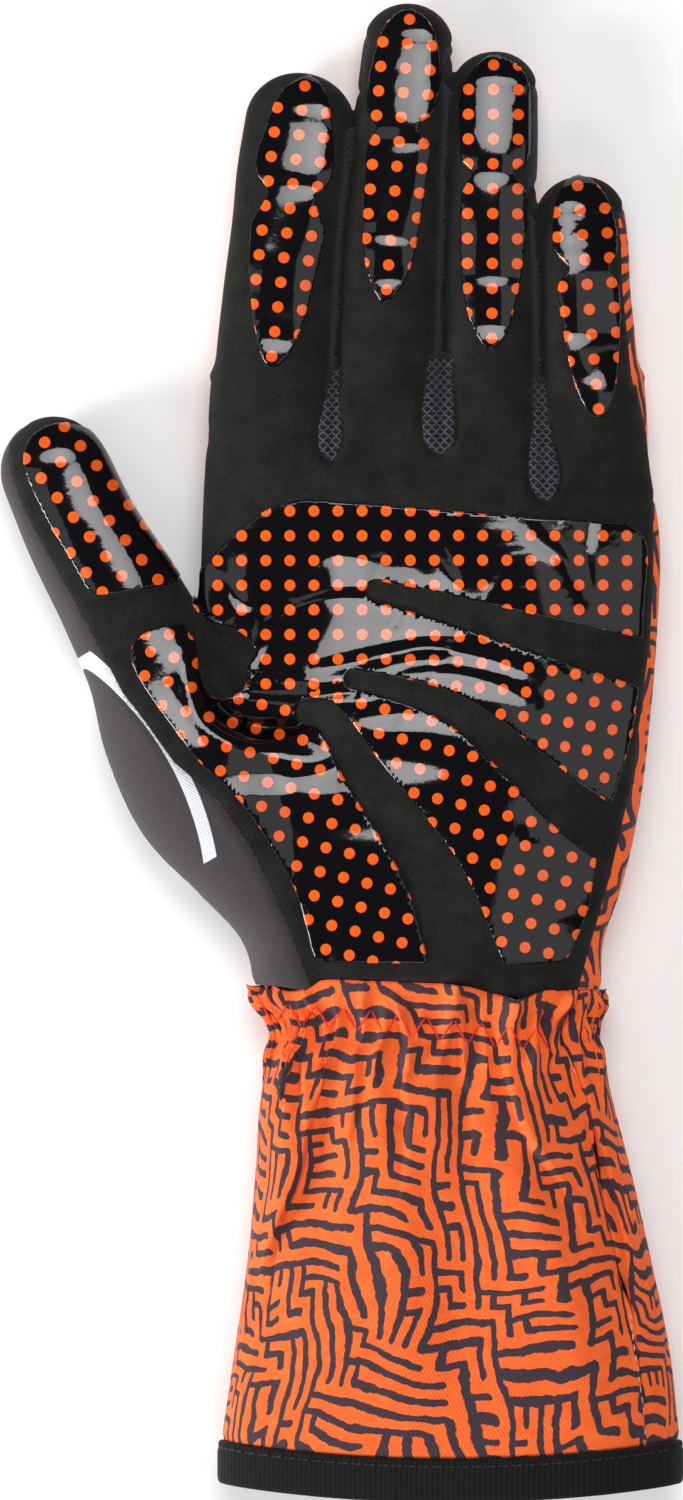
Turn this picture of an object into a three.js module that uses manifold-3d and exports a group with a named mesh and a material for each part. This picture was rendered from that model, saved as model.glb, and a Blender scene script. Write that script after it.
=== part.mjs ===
import * as THREE from 'three';
import { mergeVertices } from 'three/addons/utils/BufferGeometryUtils.js';
import Module from 'manifold-3d';

// A left-hand karting glove with a long flared cuff, lying on its back with the palm up.
// +Y runs from the cuff to the finger tips, +Z is the palm side and -X the thumb side.
// Modelled round the middle of the wrist seam, then set over the middle of its own box.

// Driving dimensions, in millimetres and degrees
const PALM_WIDTH = 90;
const PALM_LENGTH = 119;
const PALM_HEIGHT = 24;
const WRIST_WIDTH = 65.8;
const WRIST_HEIGHT = 22.5;
const FINGER_LENGTH = 77.7;
const FINGER_HEIGHT = 15;
const THUMB_LENGTH = 39;
const THUMB_WIDTH = 24.8;
const THUMB_HEIGHT = 19;
const THUMB_LEAN = 23;
const CUFF_LENGTH = 90.6;
const CUFF_WIDTH = 92.4;
const CUFF_HEIGHT = 27;
const HEM_LENGTH = 8.6;
const HEM_SAG = 3.2;
const HEM_THICKNESS = 2.6;
const WALL = 1.2;
const GRIP_THICKNESS = 0.8;
const SEAM_GAP = 0.3;
const SIDE_WALL_SHOWING = 1.2;
const GATHER_COUNT = 12;
const GATHER_DEPTH = 1.8;
const FOLD_DEPTH = 2.6;
const CUFF_SEAM_RIGHT = 36;
const CUFF_SEAM_LEFT = 196;

// Levels of the two long seams on a finger, and how a ring of cloth rests on the table
const SIDE_SEAM_LEVEL = 0.53 * FINGER_HEIGHT;
const BACK_SEAM_LEVEL = 0.3 * FINGER_HEIGHT;
const REST_SHARE = 0.44;
const TOP_SHARE = 0.66;
const ROUNDNESS = 2.35;
const TOP = 2 * Math.max(PALM_HEIGHT, THUMB_HEIGHT, CUFF_HEIGHT);

// Palm, from the wrist to the finger roots: along is a share of the palm length, left and
// right of the palm width, wrist of the wrist's own size, height of the palm height
const PALM_ROWS = [
  { along: -0.06, left: 0.0, right: 0.0, wrist: 1.04, height: 0.0 },
  { along: 0.0, left: 0.0, right: 0.0, wrist: 1.04, height: 0.0 },
  { along: 0.06, left: 0.25, right: 0.235, wrist: 0.4, height: 0.6 },
  { along: 0.17, left: 0.48, right: 0.426, wrist: 0.0, height: 1.0 },
  { along: 0.3, left: 0.52, right: 0.464, wrist: 0.0, height: 1.02 },
  { along: 0.45, left: 0.525, right: 0.488, wrist: 0.0, height: 1.0 },
  { along: 0.6, left: 0.512, right: 0.504, wrist: 0.0, height: 0.95 },
  { along: 0.74, left: 0.508, right: 0.51, wrist: 0.0, height: 0.87 },
  { along: 0.89, left: 0.498, right: 0.486, wrist: 0.0, height: 0.76 },
  { along: 1.0, left: 0.48, right: 0.47, wrist: 0.0, height: 0.57 },
  { along: 1.018, left: 0.476, right: 0.466, wrist: 0.0, height: 0.4 },
];
const KNUCKLE_SLANT = 0.03 * PALM_LENGTH;

// Dents and creases pressed into the palm side: length and width are shares of the palm
// width, turn is in degrees from +X, depth is a share of the palm height
const DENTS = [
  { across: -0.06, along: 0.5, length: 0.3, width: 0.2, turn: -15, depth: 0.14 },
  { across: -0.34, along: 0.43, length: 0.2, width: 0.055, turn: -18, depth: 0.14 },
  { across: -0.36, along: 0.57, length: 0.13, width: 0.06, turn: 60, depth: 0.12 },
  { across: 0.05, along: 0.4, length: 0.28, width: 0.06, turn: -24, depth: 0.05 },
  { across: -0.1, along: 0.2, length: 0.25, width: 0.08, turn: -50, depth: 0.06 },
];

// Thumb, from the wrist up: the lower rows follow the palm, and the upper ones reach out
// along the thumb, by a share of its length, with a small bow across it
const THUMB_ROWS = [
  { across: -0.293, along: -0.06, reach: 0, bow: 0, width: 0.65, height: 1.1 },
  { across: -0.322, along: 0.1, reach: 0, bow: 0, width: 0.72, height: 1.16 },
  { across: -0.386, along: 0.21, reach: 0, bow: 0, width: 1.08, height: 1.24 },
  { across: -0.475, along: 0.328, reach: 0, bow: 0, width: 1.38, height: 1.26 },
  { across: -0.558, along: 0.445, reach: 0, bow: 0, width: 1.3, height: 1.2 },
  { across: -0.62, along: 0.546, reach: 0, bow: 0, width: 1.09, height: 1.08 },
  { across: -0.682, along: 0.639, reach: 0, bow: 0, width: 1.02, height: 1.0 },
  { across: -0.682, along: 0.639, reach: 0.45, bow: 0.05, width: 0.92, height: 0.9 },
  { across: -0.682, along: 0.639, reach: 0.76, bow: 0.055, width: 0.88, height: 0.84 },
];
const THUMB_TIP_ROUND = 1.05;

// Fingers, thumb side first: across and width are shares of the palm width, along of the
// palm length, length and bow of the finger length, lean is in degrees towards +X
const FINGERS = [
  { name: 'index', across: -0.348, along: 1, length: 0.823, width: 0.266, lean: 5.8, bow: -0.01 },
  { name: 'middle', across: -0.093, along: 1, length: 1.0, width: 0.224, lean: 3.6, bow: -0.012 },
  { name: 'ring', across: 0.136, along: 1, length: 0.875, width: 0.208, lean: 1.0, bow: -0.004 },
  { name: 'little', across: 0.36, along: 0.985, length: 0.577, width: 0.214, lean: -3.1, bow: 0 },
];

// The shaft of every finger, from inside the palm to where its round tip starts: along is
// a share of the shaft, width and height are shares of the finger's own
const FINGER_FORM = [
  { along: -0.26, width: 0.88, height: 1.0 },
  { along: 0.0, width: 0.99, height: 1.08 },
  { along: 0.34, width: 0.96, height: 1.04 },
  { along: 0.64, width: 0.915, height: 0.92 },
  { along: 0.8, width: 0.93, height: 0.97 },
  { along: 1.0, width: 0.9, height: 0.9 },
];
const TIP_ANGLES = [34, 62, 84];
const TIP_ROUND = 0.95;

// Nets in the crotches of the fingers: each hangs below the gap after its finger, with its
// length as a share of the palm length and its widths as shares of the palm width
const GUSSETS = [
  { after: 'index', before: 'middle', length: 0.134, drift: -0.016, neck: 0.03, width: 0.056 },
  { after: 'middle', before: 'ring', length: 0.13, drift: -0.004, neck: 0.056, width: 0.075 },
  { after: 'ring', before: 'little', length: 0.175, drift: 0.006, neck: 0.034, width: 0.068 },
];

// Outline of a finger's grip patch, from its pointed foot up, narrow at the finger's joint
const GRIP_FORM = [
  { along: 0.0, width: 0.1 },
  { along: 0.1, width: 0.55 },
  { along: 0.22, width: 0.74 },
  { along: 0.36, width: 0.9 },
  { along: 0.5, width: 0.93 },
  { along: 0.59, width: 0.64 },
  { along: 0.67, width: 0.92 },
  { along: 0.78, width: 1.0 },
  { along: 0.88, width: 0.8 },
  { along: 0.96, width: 0.5 },
  { along: 1.0, width: 0.14 },
];
// Each finger's patch: from and to are shares of the finger, width is one of its own width
const FINGER_GRIPS = [
  { name: 'index', from: 0.06, to: 0.985, width: 0.64, aside: 0.0 },
  { name: 'middle', from: 0.215, to: 0.98, width: 0.72, aside: -0.02 },
  { name: 'ring', from: 0.115, to: 0.98, width: 0.76, aside: 0.0 },
  { name: 'little', from: -0.1, to: 0.97, width: 0.66, aside: 0.02 },
];

// Outlines on the palm and thumb, in hundredths of the palm width and the palm length
const THUMB_GRIP_OUTLINE = [
  [-82.4, 94.2], [-86.4, 93.0], [-88.9, 91.4], [-90.2, 88.4], [-89.1, 84.5], [-86.8, 80.8],
  [-80.2, 71.9], [-75.2, 65.8], [-61.5, 66.8], [-53, 68], [-57, 78], [-67, 88], [-76, 93],
];
const PALM_GRIP_OUTLINE = [
  [-51.6, 67.4], [-50, 70], [-46, 73.5], [-42, 76], [-39, 79], [-35, 80.8], [-28.5, 81.4],
  [2, 79.5], [40, 77.5], [45, 77], [47.6, 74.5], [48, 70], [47, 63], [45.8, 61], [45.8, 48],
  [44.7, 42], [42, 35.5], [40, 32.5], [36.4, 20], [35.3, 14.5], [32.4, 8.2], [30, 4.7],
  [27, 3.9], [17.3, 3.6], [-16, 3.9], [-24, 4.4], [-27.3, 9.2], [-30, 16], [-34.4, 22.4],
  [-40.4, 29.2], [-46.4, 34.3], [-51.8, 38], [-60.7, 47], [-63.8, 51], [-66, 54],
  [-65, 57.3], [-61.8, 59.3], [-55.3, 61], [-51.6, 61.8],
];
const WEB_INLET_OUTLINE = [
  [-56, 61.8], [-56, 66.2], [-51, 63.3], [-45.8, 61.5], [-42.7, 59.5], [-40.2, 57],
  [-39.2, 54.5], [-41, 50.5], [-45, 48.2], [-49, 48.4], [-51, 51.5], [-51.6, 58.5],
];
// Suede grooves across the palm grip, from their round inner end to the edge of the patch
const PALM_GROOVES = [
  { from: [-12.5, 65.6], bend: [17.3, 60.9], to: [50, 55.0], start: 3.0, end: 10.5 },
  { from: [-19, 53.3], bend: [4, 47.2], to: [40, 25.5], start: 2.4, end: 12.0 },
  { from: [-30.5, 45.6], bend: [-13, 30.5], to: [4.5, 0.5], start: 4.0, end: 16.0 },
];

// Where the suede ends: over the thumb's outer side, and down the little finger's side
const SUEDE_THUMB_EDGE = [
  [-26.2, -6], [-26.2, -0.8], [-30.7, 8.7], [-35.3, 16.6], [-39.8, 23.5], [-47.1, 31.4],
  [-56.9, 37.6], [-63.8, 44.9], [-68.4, 49.2], [-77.3, 62], [-86.4, 74.3], [-90.7, 80.2],
  [-93.4, 85.7], [-94.4, 92], [-92, 98], [-84, 99], [-76, 96.5], [-60, 84], [-54.4, 72],
  [-53.6, 67.5],
];
const SUEDE_HAND_EDGE = [
  [-53, 72], [-53, 102], [0, 102], [46.2, 101], [49.2, 90], [49.9, 82], [50, 72], [49.2, 58.5],
  [47.4, 48.6], [45.2, 35.3], [40.2, 18.7], [36, 7.4], [32.9, -0.5], [31, -6],
];
// Back edge of the side panel of the thumb, from its tip round the web to the wrist
const THUMB_PANEL_EDGE = [
  [-120, -6], [-120, 120], [-56, 120], [-53.2, 80], [-52.4, 65], [-48, 48], [-41, 31],
  [-33.5, 14.5], [-26.5, 0], [-24, -6],
];

// Cuff, from the wrist seam to the hem: wrist and hem are shares of the two ends' sizes,
// shift is a share of the cuff width, ripple a share of the gather depth
const CUFF_ROWS = [
  { along: 0.0, wrist: 1.04, hem: 0.0, shift: -0.002, ripple: 0.0 },
  { along: 0.035, wrist: 1.02, hem: 0.0, shift: 0.002, ripple: 0.7 },
  { along: 0.1, wrist: 1.0, hem: 0.0, shift: 0.009, ripple: 1.0 },
  { along: 0.16, wrist: 0.97, hem: 0.04, shift: 0.008, ripple: 1.0 },
  { along: 0.25, wrist: 0.84, hem: 0.17, shift: 0.01, ripple: 0.6 },
  { along: 0.4, wrist: 0.64, hem: 0.36, shift: 0.024, ripple: 0.2 },
  { along: 0.6, wrist: 0.43, hem: 0.57, shift: 0.038, ripple: 0.0 },
  { along: 0.8, wrist: 0.2, hem: 0.8, shift: 0.045, ripple: 0.0 },
  { along: 1.0, wrist: 0.03, hem: 0.97, shift: 0.043, ripple: 0.0 },
];
// Soft folds that run down the cuff: around and drift are in degrees, width in degrees,
// along the middle and reach the half length, both shares of the cuff length
const CUFF_FOLDS = [
  { around: 62, drift: -18, width: 8, along: 0.42, reach: 0.4, depth: 1.0 },
  { around: 82, drift: -8, width: 7, along: 0.3, reach: 0.3, depth: -0.7 },
  { around: 104, drift: -2, width: 8, along: 0.4, reach: 0.35, depth: 0.9 },
  { around: 128, drift: 6, width: 7, along: 0.35, reach: 0.3, depth: -0.8 },
  { around: 146, drift: 16, width: 8, along: 0.5, reach: 0.35, depth: 1.0 },
  { around: 176, drift: 0, width: 9, along: 0.45, reach: 0.4, depth: -0.8 },
];

// Mesh steps
const FINGER_SIDES = 10;
const THUMB_SIDES = 12;
const PALM_SIDES = 22;
const CUFF_STEPS = { front: 24, back: 10, along: 8 };
const EDGE_STEPS = 12;

const wasm = await Module();
wasm.setup();

const radians = THREE.MathUtils.degToRad;

// A closed three.js geometry as a solid, and a solid as a geometry
function solidOf(geometry) {
  geometry.deleteAttribute('normal');
  geometry.deleteAttribute('uv');
  const merged = mergeVertices(geometry, 1e-4);
  return new wasm.Manifold(new wasm.Mesh({
    numProp: 3,
    vertProperties: new Float32Array(merged.attributes.position.array),
    triVerts: new Uint32Array(merged.index.array),
  }));
}

function geometryOf(solid) {
  const { vertProperties, triVerts } = solid.getMesh();
  const geometry = new THREE.BufferGeometry();
  geometry.setAttribute('position', new THREE.BufferAttribute(vertProperties, 3));
  geometry.setIndex(new THREE.BufferAttribute(triVerts, 1));
  geometry.computeVertexNormals();
  return geometry;
}

// Closed rings of points, joined side to side, with a fan over each end
function skinOfRings(rings) {
  const sides = rings[0].length;
  const points = rings.flat();
  const ends = [rings[0], rings[rings.length - 1]];
  for (const ring of ends) {
    const middle = ring.reduce((sum, point) => sum.add(point), new THREE.Vector3());
    points.push(middle.divideScalar(sides));
  }
  const firstMiddle = points.length - 2;
  const triangles = [];
  for (let row = 0; row < rings.length - 1; row += 1) {
    for (let side = 0; side < sides; side += 1) {
      const a = row * sides + side;
      const b = row * sides + (side + 1) % sides;
      triangles.push(a, b, b + sides, a, b + sides, a + sides);
    }
  }
  const last = (rings.length - 1) * sides;
  for (let side = 0; side < sides; side += 1) {
    const next = (side + 1) % sides;
    triangles.push(firstMiddle, next, side);
    triangles.push(firstMiddle + 1, last + side, last + next);
  }
  const geometry = new THREE.BufferGeometry().setFromPoints(points);
  geometry.setIndex(triangles);
  return geometry;
}

// Upright prism over a plan outline
function prism(outline, bottom, top) {
  const shape = new THREE.Shape(outline);
  const geometry = new THREE.ExtrudeGeometry(shape, { depth: top - bottom, bevelEnabled: false });
  geometry.translate(0, 0, bottom);
  return solidOf(geometry);
}

// The same outline with every edge moved outwards by a distance
function grown(outline, distance) {
  const turn = Math.sign(THREE.ShapeUtils.area(outline));
  return outline.map((point, place) => {
    const before = outline.at(place - 1);
    const after = outline[(place + 1) % outline.length];
    const sideIn = point.clone().sub(before).normalize();
    const sideOut = after.clone().sub(point).normalize();
    const run = sideIn.clone().add(sideOut).normalize();
    const outwards = new THREE.Vector2(run.y, -run.x).multiplyScalar(turn);
    const sharpness = Math.max(0.5, run.dot(sideOut));
    return point.clone().addScaledVector(outwards, distance / sharpness);
  });
}

// Points in hundredths of the palm, as places on the palm
function onPalm(points) {
  return points.map(([across, along]) => (
    new THREE.Vector2(across * PALM_WIDTH / 100, along * PALM_LENGTH / 100)
  ));
}

// A round outline through points in hundredths of the palm
function roundOutline(points, steps) {
  const corners = onPalm(points).map((point) => new THREE.Vector3(point.x, point.y, 0));
  const curve = new THREE.CatmullRomCurve3(corners, true, 'centripetal');
  const around = curve.getPoints(steps).slice(0, -1);
  return around.map((point) => new THREE.Vector2(point.x, point.y));
}

// How deep the palm side is pressed in at a place
function dentAt(x, y) {
  let depth = 0;
  for (const dent of DENTS) {
    const turn = radians(dent.turn);
    const dx = x - dent.across * PALM_WIDTH;
    const dy = y - dent.along * PALM_LENGTH;
    const run = (dx * Math.cos(turn) + dy * Math.sin(turn)) / (dent.length * PALM_WIDTH);
    const side = (dy * Math.cos(turn) - dx * Math.sin(turn)) / (dent.width * PALM_WIDTH);
    depth += dent.depth * PALM_HEIGHT * Math.exp(-run * run - side * side);
  }
  return depth;
}

// A point of a ring of cloth, by its angle: across is -1 to 1, up is -1 to 1
function ringPoint(degrees) {
  const across = Math.cos(radians(degrees));
  const up = (1 - Math.abs(across) ** ROUNDNESS) ** (1 / ROUNDNESS);
  return { across, up: up * Math.sign(Math.sin(radians(degrees))) };
}

// Angles round a ring, closer on the palm side than on the side it rests on
function ringAngles(sides) {
  const above = Math.round(sides * TOP_SHARE);
  const angles = [];
  for (let side = 0; side < above; side += 1) angles.push(180 * side / above);
  for (let side = above; side < sides; side += 1) {
    angles.push(180 + 180 * (side - above) / (sides - above));
  }
  return angles;
}

// A tube of cloth through stations that hold its middle, heading, width and height, taken
// in by an inset all round; at a closed tip the inset also shortens it
function clothTube(stations, sides, inset, shapePoint = (point) => point) {
  const rings = stations.map((station, place) => {
    const before = stations[Math.max(place - 1, 0)];
    const after = stations[Math.min(place + 1, stations.length - 1)];
    const run = after.middle.distanceTo(before.middle);
    const taper = Math.max(before.width - after.width, before.height - after.height) / 2;
    const slope = place === 0 ? 0 : Math.atan2(Math.max(taper, 0), run);
    const halfWidth = Math.max(station.width / 2 - inset * Math.cos(slope), WALL / 4);
    const halfHeight = Math.max(station.height / 2 - inset * Math.cos(slope), WALL / 4);
    const middle = station.middle.clone();
    middle.addScaledVector(station.heading, -inset * Math.sin(slope));
    const sideways = new THREE.Vector2(station.heading.y, -station.heading.x);
    const ring = [];
    for (const degrees of ringAngles(sides)) {
      const { across, up } = ringPoint(degrees);
      const x = middle.x + sideways.x * halfWidth * across;
      const y = middle.y + sideways.y * halfWidth * across;
      const z = station.height * REST_SHARE + halfHeight * up;
      ring.push(shapePoint(new THREE.Vector3(x, y, z), across, up));
    }
    return ring.reverse();
  });
  return solidOf(skinOfRings(rings));
}

// Headings of a row of stations, from each one's neighbours
function withHeadings(stations) {
  return stations.map((station, place) => {
    const before = stations[Math.max(place - 1, 0)];
    const after = stations[Math.min(place + 1, stations.length - 1)];
    const heading = after.middle.clone().sub(before.middle).normalize();
    return { ...station, heading };
  });
}

// The round end of a finger or thumb, beyond its last station
function withRoundTip(stations, tipRound) {
  const last = stations[stations.length - 1];
  const reach = tipRound * last.width / 2;
  const tip = TIP_ANGLES.map((degrees) => {
    const angle = radians(degrees);
    const middle = last.middle.clone().addScaledVector(last.heading, reach * Math.sin(angle));
    const share = Math.cos(angle);
    return { ...last, middle, width: last.width * share, height: last.height * share };
  });
  return [...stations, ...tip];
}

function palmTube(inset) {
  const stations = PALM_ROWS.map((row) => {
    const left = row.left * PALM_WIDTH + row.wrist * WRIST_WIDTH / 2;
    const right = row.right * PALM_WIDTH + row.wrist * WRIST_WIDTH / 2;
    return {
      middle: new THREE.Vector2((right - left) / 2, row.along * PALM_LENGTH),
      heading: new THREE.Vector2(0, 1),
      width: left + right,
      height: row.height * PALM_HEIGHT + row.wrist * WRIST_HEIGHT,
    };
  });
  return clothTube(stations, PALM_SIDES, inset, (point, across, up) => {
    const share = point.y / PALM_LENGTH;
    const dented = up > 0 ? dentAt(point.x, point.y) * up : 0;
    point.z -= dented;
    point.y -= KNUCKLE_SLANT * Math.max(share, 0) ** 4 * Math.max(across, 0) ** 2;
    return point;
  });
}

// A place on the thumb's own line, past its base
function onThumb(across, along, reach, bow) {
  const lean = radians(THUMB_LEAN);
  const out = new THREE.Vector2(-Math.sin(lean), Math.cos(lean));
  const place = new THREE.Vector2(across * PALM_WIDTH, along * PALM_LENGTH);
  place.addScaledVector(out, reach * THUMB_LENGTH);
  return place.add(new THREE.Vector2(-out.y, out.x).multiplyScalar(bow * THUMB_LENGTH));
}

function thumbTube(inset) {
  const shaft = withHeadings(THUMB_ROWS.map((row) => ({
    middle: onThumb(row.across, row.along, row.reach, row.bow),
    width: row.width * THUMB_WIDTH,
    height: row.height * THUMB_HEIGHT,
  })));
  return clothTube(withRoundTip(shaft, THUMB_TIP_ROUND), THUMB_SIDES, inset);
}

// A place beside a finger's own middle line: along is a share of the finger, aside is mm
function onFinger(finger, along, aside) {
  const lean = radians(finger.lean);
  const out = new THREE.Vector2(Math.sin(lean), Math.cos(lean));
  const place = new THREE.Vector2(finger.across * PALM_WIDTH, finger.along * PALM_LENGTH);
  place.addScaledVector(out, along * finger.length * FINGER_LENGTH);
  const bow = 4 * finger.bow * FINGER_LENGTH * along * (1 - along);
  return place.add(new THREE.Vector2(out.y, -out.x).multiplyScalar(aside + bow));
}

// The share of a finger's length that its shaft takes, short of its round tip
function shaftShare(finger) {
  const lastWidth = FINGER_FORM[FINGER_FORM.length - 1].width;
  const tip = TIP_ROUND * lastWidth * finger.width * PALM_WIDTH / 2;
  return 1 - tip / (finger.length * FINGER_LENGTH);
}

function fingerTube(finger, inset) {
  const shaft = withHeadings(FINGER_FORM.map((row) => ({
    middle: onFinger(finger, row.along * shaftShare(finger), 0),
    width: row.width * finger.width * PALM_WIDTH,
    height: row.height * FINGER_HEIGHT,
  })));
  return clothTube(withRoundTip(shaft, TIP_ROUND), FINGER_SIDES, inset);
}

// The whole hand as one solid, and the part of space that it may fill
function handTube(inset) {
  const tubes = [palmTube(inset), thumbTube(inset)];
  for (const finger of FINGERS) tubes.push(fingerTube(finger, inset));
  return tubes.reduce((whole, tube) => whole.add(tube));
}

const HAND_SPAN = 2 * (PALM_WIDTH + THUMB_LENGTH);
const HAND_REACH = PALM_LENGTH + 2 * FINGER_LENGTH;

function aboveLevel(level, start) {
  const corners = [
    new THREE.Vector2(-HAND_SPAN, start), new THREE.Vector2(HAND_SPAN, start),
    new THREE.Vector2(HAND_SPAN, HAND_REACH), new THREE.Vector2(-HAND_SPAN, HAND_REACH),
  ];
  return prism(corners, level, TOP);
}

const START = -0.05 * PALM_LENGTH;
const hollow = handTube(WALL).intersect(aboveLevel(WALL, 2 * START));
const handShell = handTube(0).subtract(hollow).intersect(aboveLevel(0, 0));

// Width of a finger at a share of its length, up to its round tip
function fingerHalfWidth(finger, along) {
  const share = shaftShare(finger);
  const rows = FINGER_FORM;
  const place = along / share;
  let width = rows[rows.length - 1].width;
  for (let row = 1; row < rows.length; row += 1) {
    if (place <= rows[row].along) {
      const step = (place - rows[row - 1].along) / (rows[row].along - rows[row - 1].along);
      width = THREE.MathUtils.lerp(rows[row - 1].width, rows[row].width, step);
      break;
    }
  }
  const past = Math.min(Math.max(along - share, 0) / (1 - share), 1);
  return width * Math.sqrt(1 - past * past) * finger.width * PALM_WIDTH / 2;
}

// Plan outline of the suede on a finger: short of the silhouette on the sides that face
// another finger and on the little finger's side, past it on the index finger's outer side
function fingerSuede(finger) {
  const left = [];
  const right = [];
  const tip = 1 - SIDE_WALL_SHOWING / 2 / (finger.length * FINGER_LENGTH);
  for (let step = 0; step <= EDGE_STEPS / 2; step += 1) {
    const share = step / (EDGE_STEPS / 2);
    const along = -0.15 + (tip + 0.15) * Math.sin(share * Math.PI / 2);
    const half = Math.max(fingerHalfWidth(finger, Math.max(along, 0)) - SIDE_WALL_SHOWING, 0);
    const outer = finger === FINGERS[0] ? half + 3 * SIDE_WALL_SHOWING * (1 - share ** 8) : half;
    left.push(onFinger(finger, along, -outer - WALL / 4));
    right.push(onFinger(finger, along, half + WALL / 4));
  }
  return [...right, ...left.reverse()];
}

function suedeRegion(grow) {
  const bottom = SIDE_SEAM_LEVEL - grow;
  const outlines = [
    onPalm([...SUEDE_THUMB_EDGE, ...SUEDE_HAND_EDGE]),
    ...FINGERS.map(fingerSuede),
  ];
  const prisms = outlines.map((outline) => prism(grown(outline, grow), bottom, TOP));
  return prisms.reduce((whole, part) => whole.add(part));
}

function findFinger(name) {
  return FINGERS.find((finger) => finger.name === name);
}

// Plan outline of the net in a crotch: a narrow neck at the gap, a round bag below it
function gussetOutline(gusset) {
  const before = onFinger(findFinger(gusset.after), 0, fingerHalfWidth(findFinger(gusset.after), 0));
  const after = onFinger(findFinger(gusset.before), 0, -fingerHalfWidth(findFinger(gusset.before), 0));
  const top = before.add(after).multiplyScalar(0.5);
  const length = gusset.length * PALM_LENGTH;
  const neck = gusset.neck * PALM_WIDTH / 2;
  const half = gusset.width * PALM_WIDTH / 2;
  const start = top.y - PALM_LENGTH * 0.003 + KNUCKLE_SLANT / 4;
  const left = [];
  const right = [];
  for (let step = 0; step <= EDGE_STEPS / 4; step += 1) {
    const share = step / (EDGE_STEPS / 4);
    const along = 1 - (1 - share) ** 1.5;
    const round = Math.sqrt(1 - along ** 6);
    const bulge = THREE.MathUtils.lerp(neck, half, Math.min(along * 1.6, 1)) * round;
    const x = top.x + gusset.drift * PALM_WIDTH * along;
    left.push(new THREE.Vector2(x - bulge - WALL / 8, start - length * along));
    right.push(new THREE.Vector2(x + bulge + WALL / 8, start - length * along));
  }
  return [...left, ...right.reverse()];
}

// Plan outline between the middle lines of two fingers, from their crotch past their tips
function sideWallOutline(gusset) {
  const first = findFinger(gusset.after);
  const second = findFinger(gusset.before);
  const shares = [-0.04, 0.5, 1];
  const left = shares.map((along) => onFinger(first, along, SEAM_GAP / 2));
  const right = shares.map((along) => onFinger(second, along, -SEAM_GAP / 2));
  const pastTips = PALM_LENGTH + 1.2 * FINGER_LENGTH;
  left.push(new THREE.Vector2(left[left.length - 1].x, pastTips));
  right.push(new THREE.Vector2(right[right.length - 1].x, pastTips));
  return [...left, ...right.reverse()];
}

// Panels cut from the shell of the hand, each short of its neighbours by the seam gap
const gussetRegions = GUSSETS.map((gusset) => prism(gussetOutline(gusset), SIDE_SEAM_LEVEL, TOP));
const gussetCuts = GUSSETS.map((gusset) => (
  prism(grown(gussetOutline(gusset), SEAM_GAP), SIDE_SEAM_LEVEL - SEAM_GAP, TOP)
));
const sideWallRegions = GUSSETS.map((gusset) => prism(sideWallOutline(gusset), BACK_SEAM_LEVEL, TOP));
const sideWallCuts = GUSSETS.map((gusset) => (
  prism(grown(sideWallOutline(gusset), SEAM_GAP), BACK_SEAM_LEVEL - SEAM_GAP, TOP)
));

function cutAway(solid, cuts) {
  return cuts.reduce((left, cut) => left.subtract(cut), solid);
}

const withoutNets = cutAway(handShell, gussetCuts);
const palmPanel = withoutNets.intersect(suedeRegion(0));
const rest = withoutNets.subtract(suedeRegion(SEAM_GAP));
const thumbRegion = prism(onPalm(THUMB_PANEL_EDGE), -WALL, TOP);
const thumbCut = prism(grown(onPalm(THUMB_PANEL_EDGE), SEAM_GAP), -WALL, TOP);
const thumbSidePanel = rest.intersect(thumbRegion);
const backPanel = cutAway(rest.subtract(thumbCut), sideWallCuts);
const sideWalls = sideWallRegions.map((region) => rest.intersect(region));
const nets = gussetRegions.map((region) => handShell.intersect(region));

// Grip patches stand on the suede: a band between two skins, cut to each outline
const gripBand = handTube(-SEAM_GAP - GRIP_THICKNESS).subtract(handTube(-SEAM_GAP));

function fingerGripOutline(grip) {
  const finger = findFinger(grip.name);
  const sides = GRIP_FORM.map((row) => {
    const along = THREE.MathUtils.lerp(grip.from, grip.to, row.along);
    const half = row.width * grip.width * finger.width * PALM_WIDTH / 2;
    const aside = grip.aside * finger.width * PALM_WIDTH;
    return [onFinger(finger, along, aside - half), onFinger(finger, along, aside + half)];
  });
  const corners = [...sides.map((pair) => pair[0]), ...sides.reverse().map((pair) => pair[1])];
  const curve = new THREE.CatmullRomCurve3(
    corners.map((point) => new THREE.Vector3(point.x, point.y, 0)), true, 'centripetal',
  );
  return curve.getPoints(EDGE_STEPS).slice(0, -1);
}

// A tapering groove from its round inner end to its open end
function grooveOutline(groove) {
  const [from, bend, to] = onPalm([groove.from, groove.bend, groove.to]);
  const curve = new THREE.QuadraticBezierCurve(
    from, bend.clone().multiplyScalar(2).sub(from.clone().add(to).multiplyScalar(0.5)), to,
  );
  const left = [];
  const right = [];
  const steps = 8;
  for (let step = 0; step <= steps; step += 1) {
    const share = step / steps;
    const run = curve.getTangent(share);
    const width = THREE.MathUtils.lerp(groove.start, groove.end, share) * PALM_WIDTH / 100;
    const side = new THREE.Vector2(-run.y, run.x).multiplyScalar(width / 2);
    left.push(curve.getPoint(share).add(side));
    right.push(curve.getPoint(share).sub(side));
  }
  return [...right, ...left.reverse()];
}

const fingerGrips = FINGER_GRIPS.map((grip) => (
  gripBand.intersect(prism(fingerGripOutline(grip), SIDE_SEAM_LEVEL, TOP))
));
const thumbGrip = gripBand.intersect(
  prism(roundOutline(THUMB_GRIP_OUTLINE, EDGE_STEPS), SIDE_SEAM_LEVEL, TOP),
);
const palmGrip = cutAway(
  gripBand.intersect(prism(roundOutline(PALM_GRIP_OUTLINE, 3 * EDGE_STEPS), SIDE_SEAM_LEVEL, TOP)),
  [
    prism(roundOutline(WEB_INLET_OUTLINE, EDGE_STEPS), 0, TOP),
    ...PALM_GROOVES.map((groove) => prism(grooveOutline(groove), 0, TOP)),
  ],
);

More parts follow.
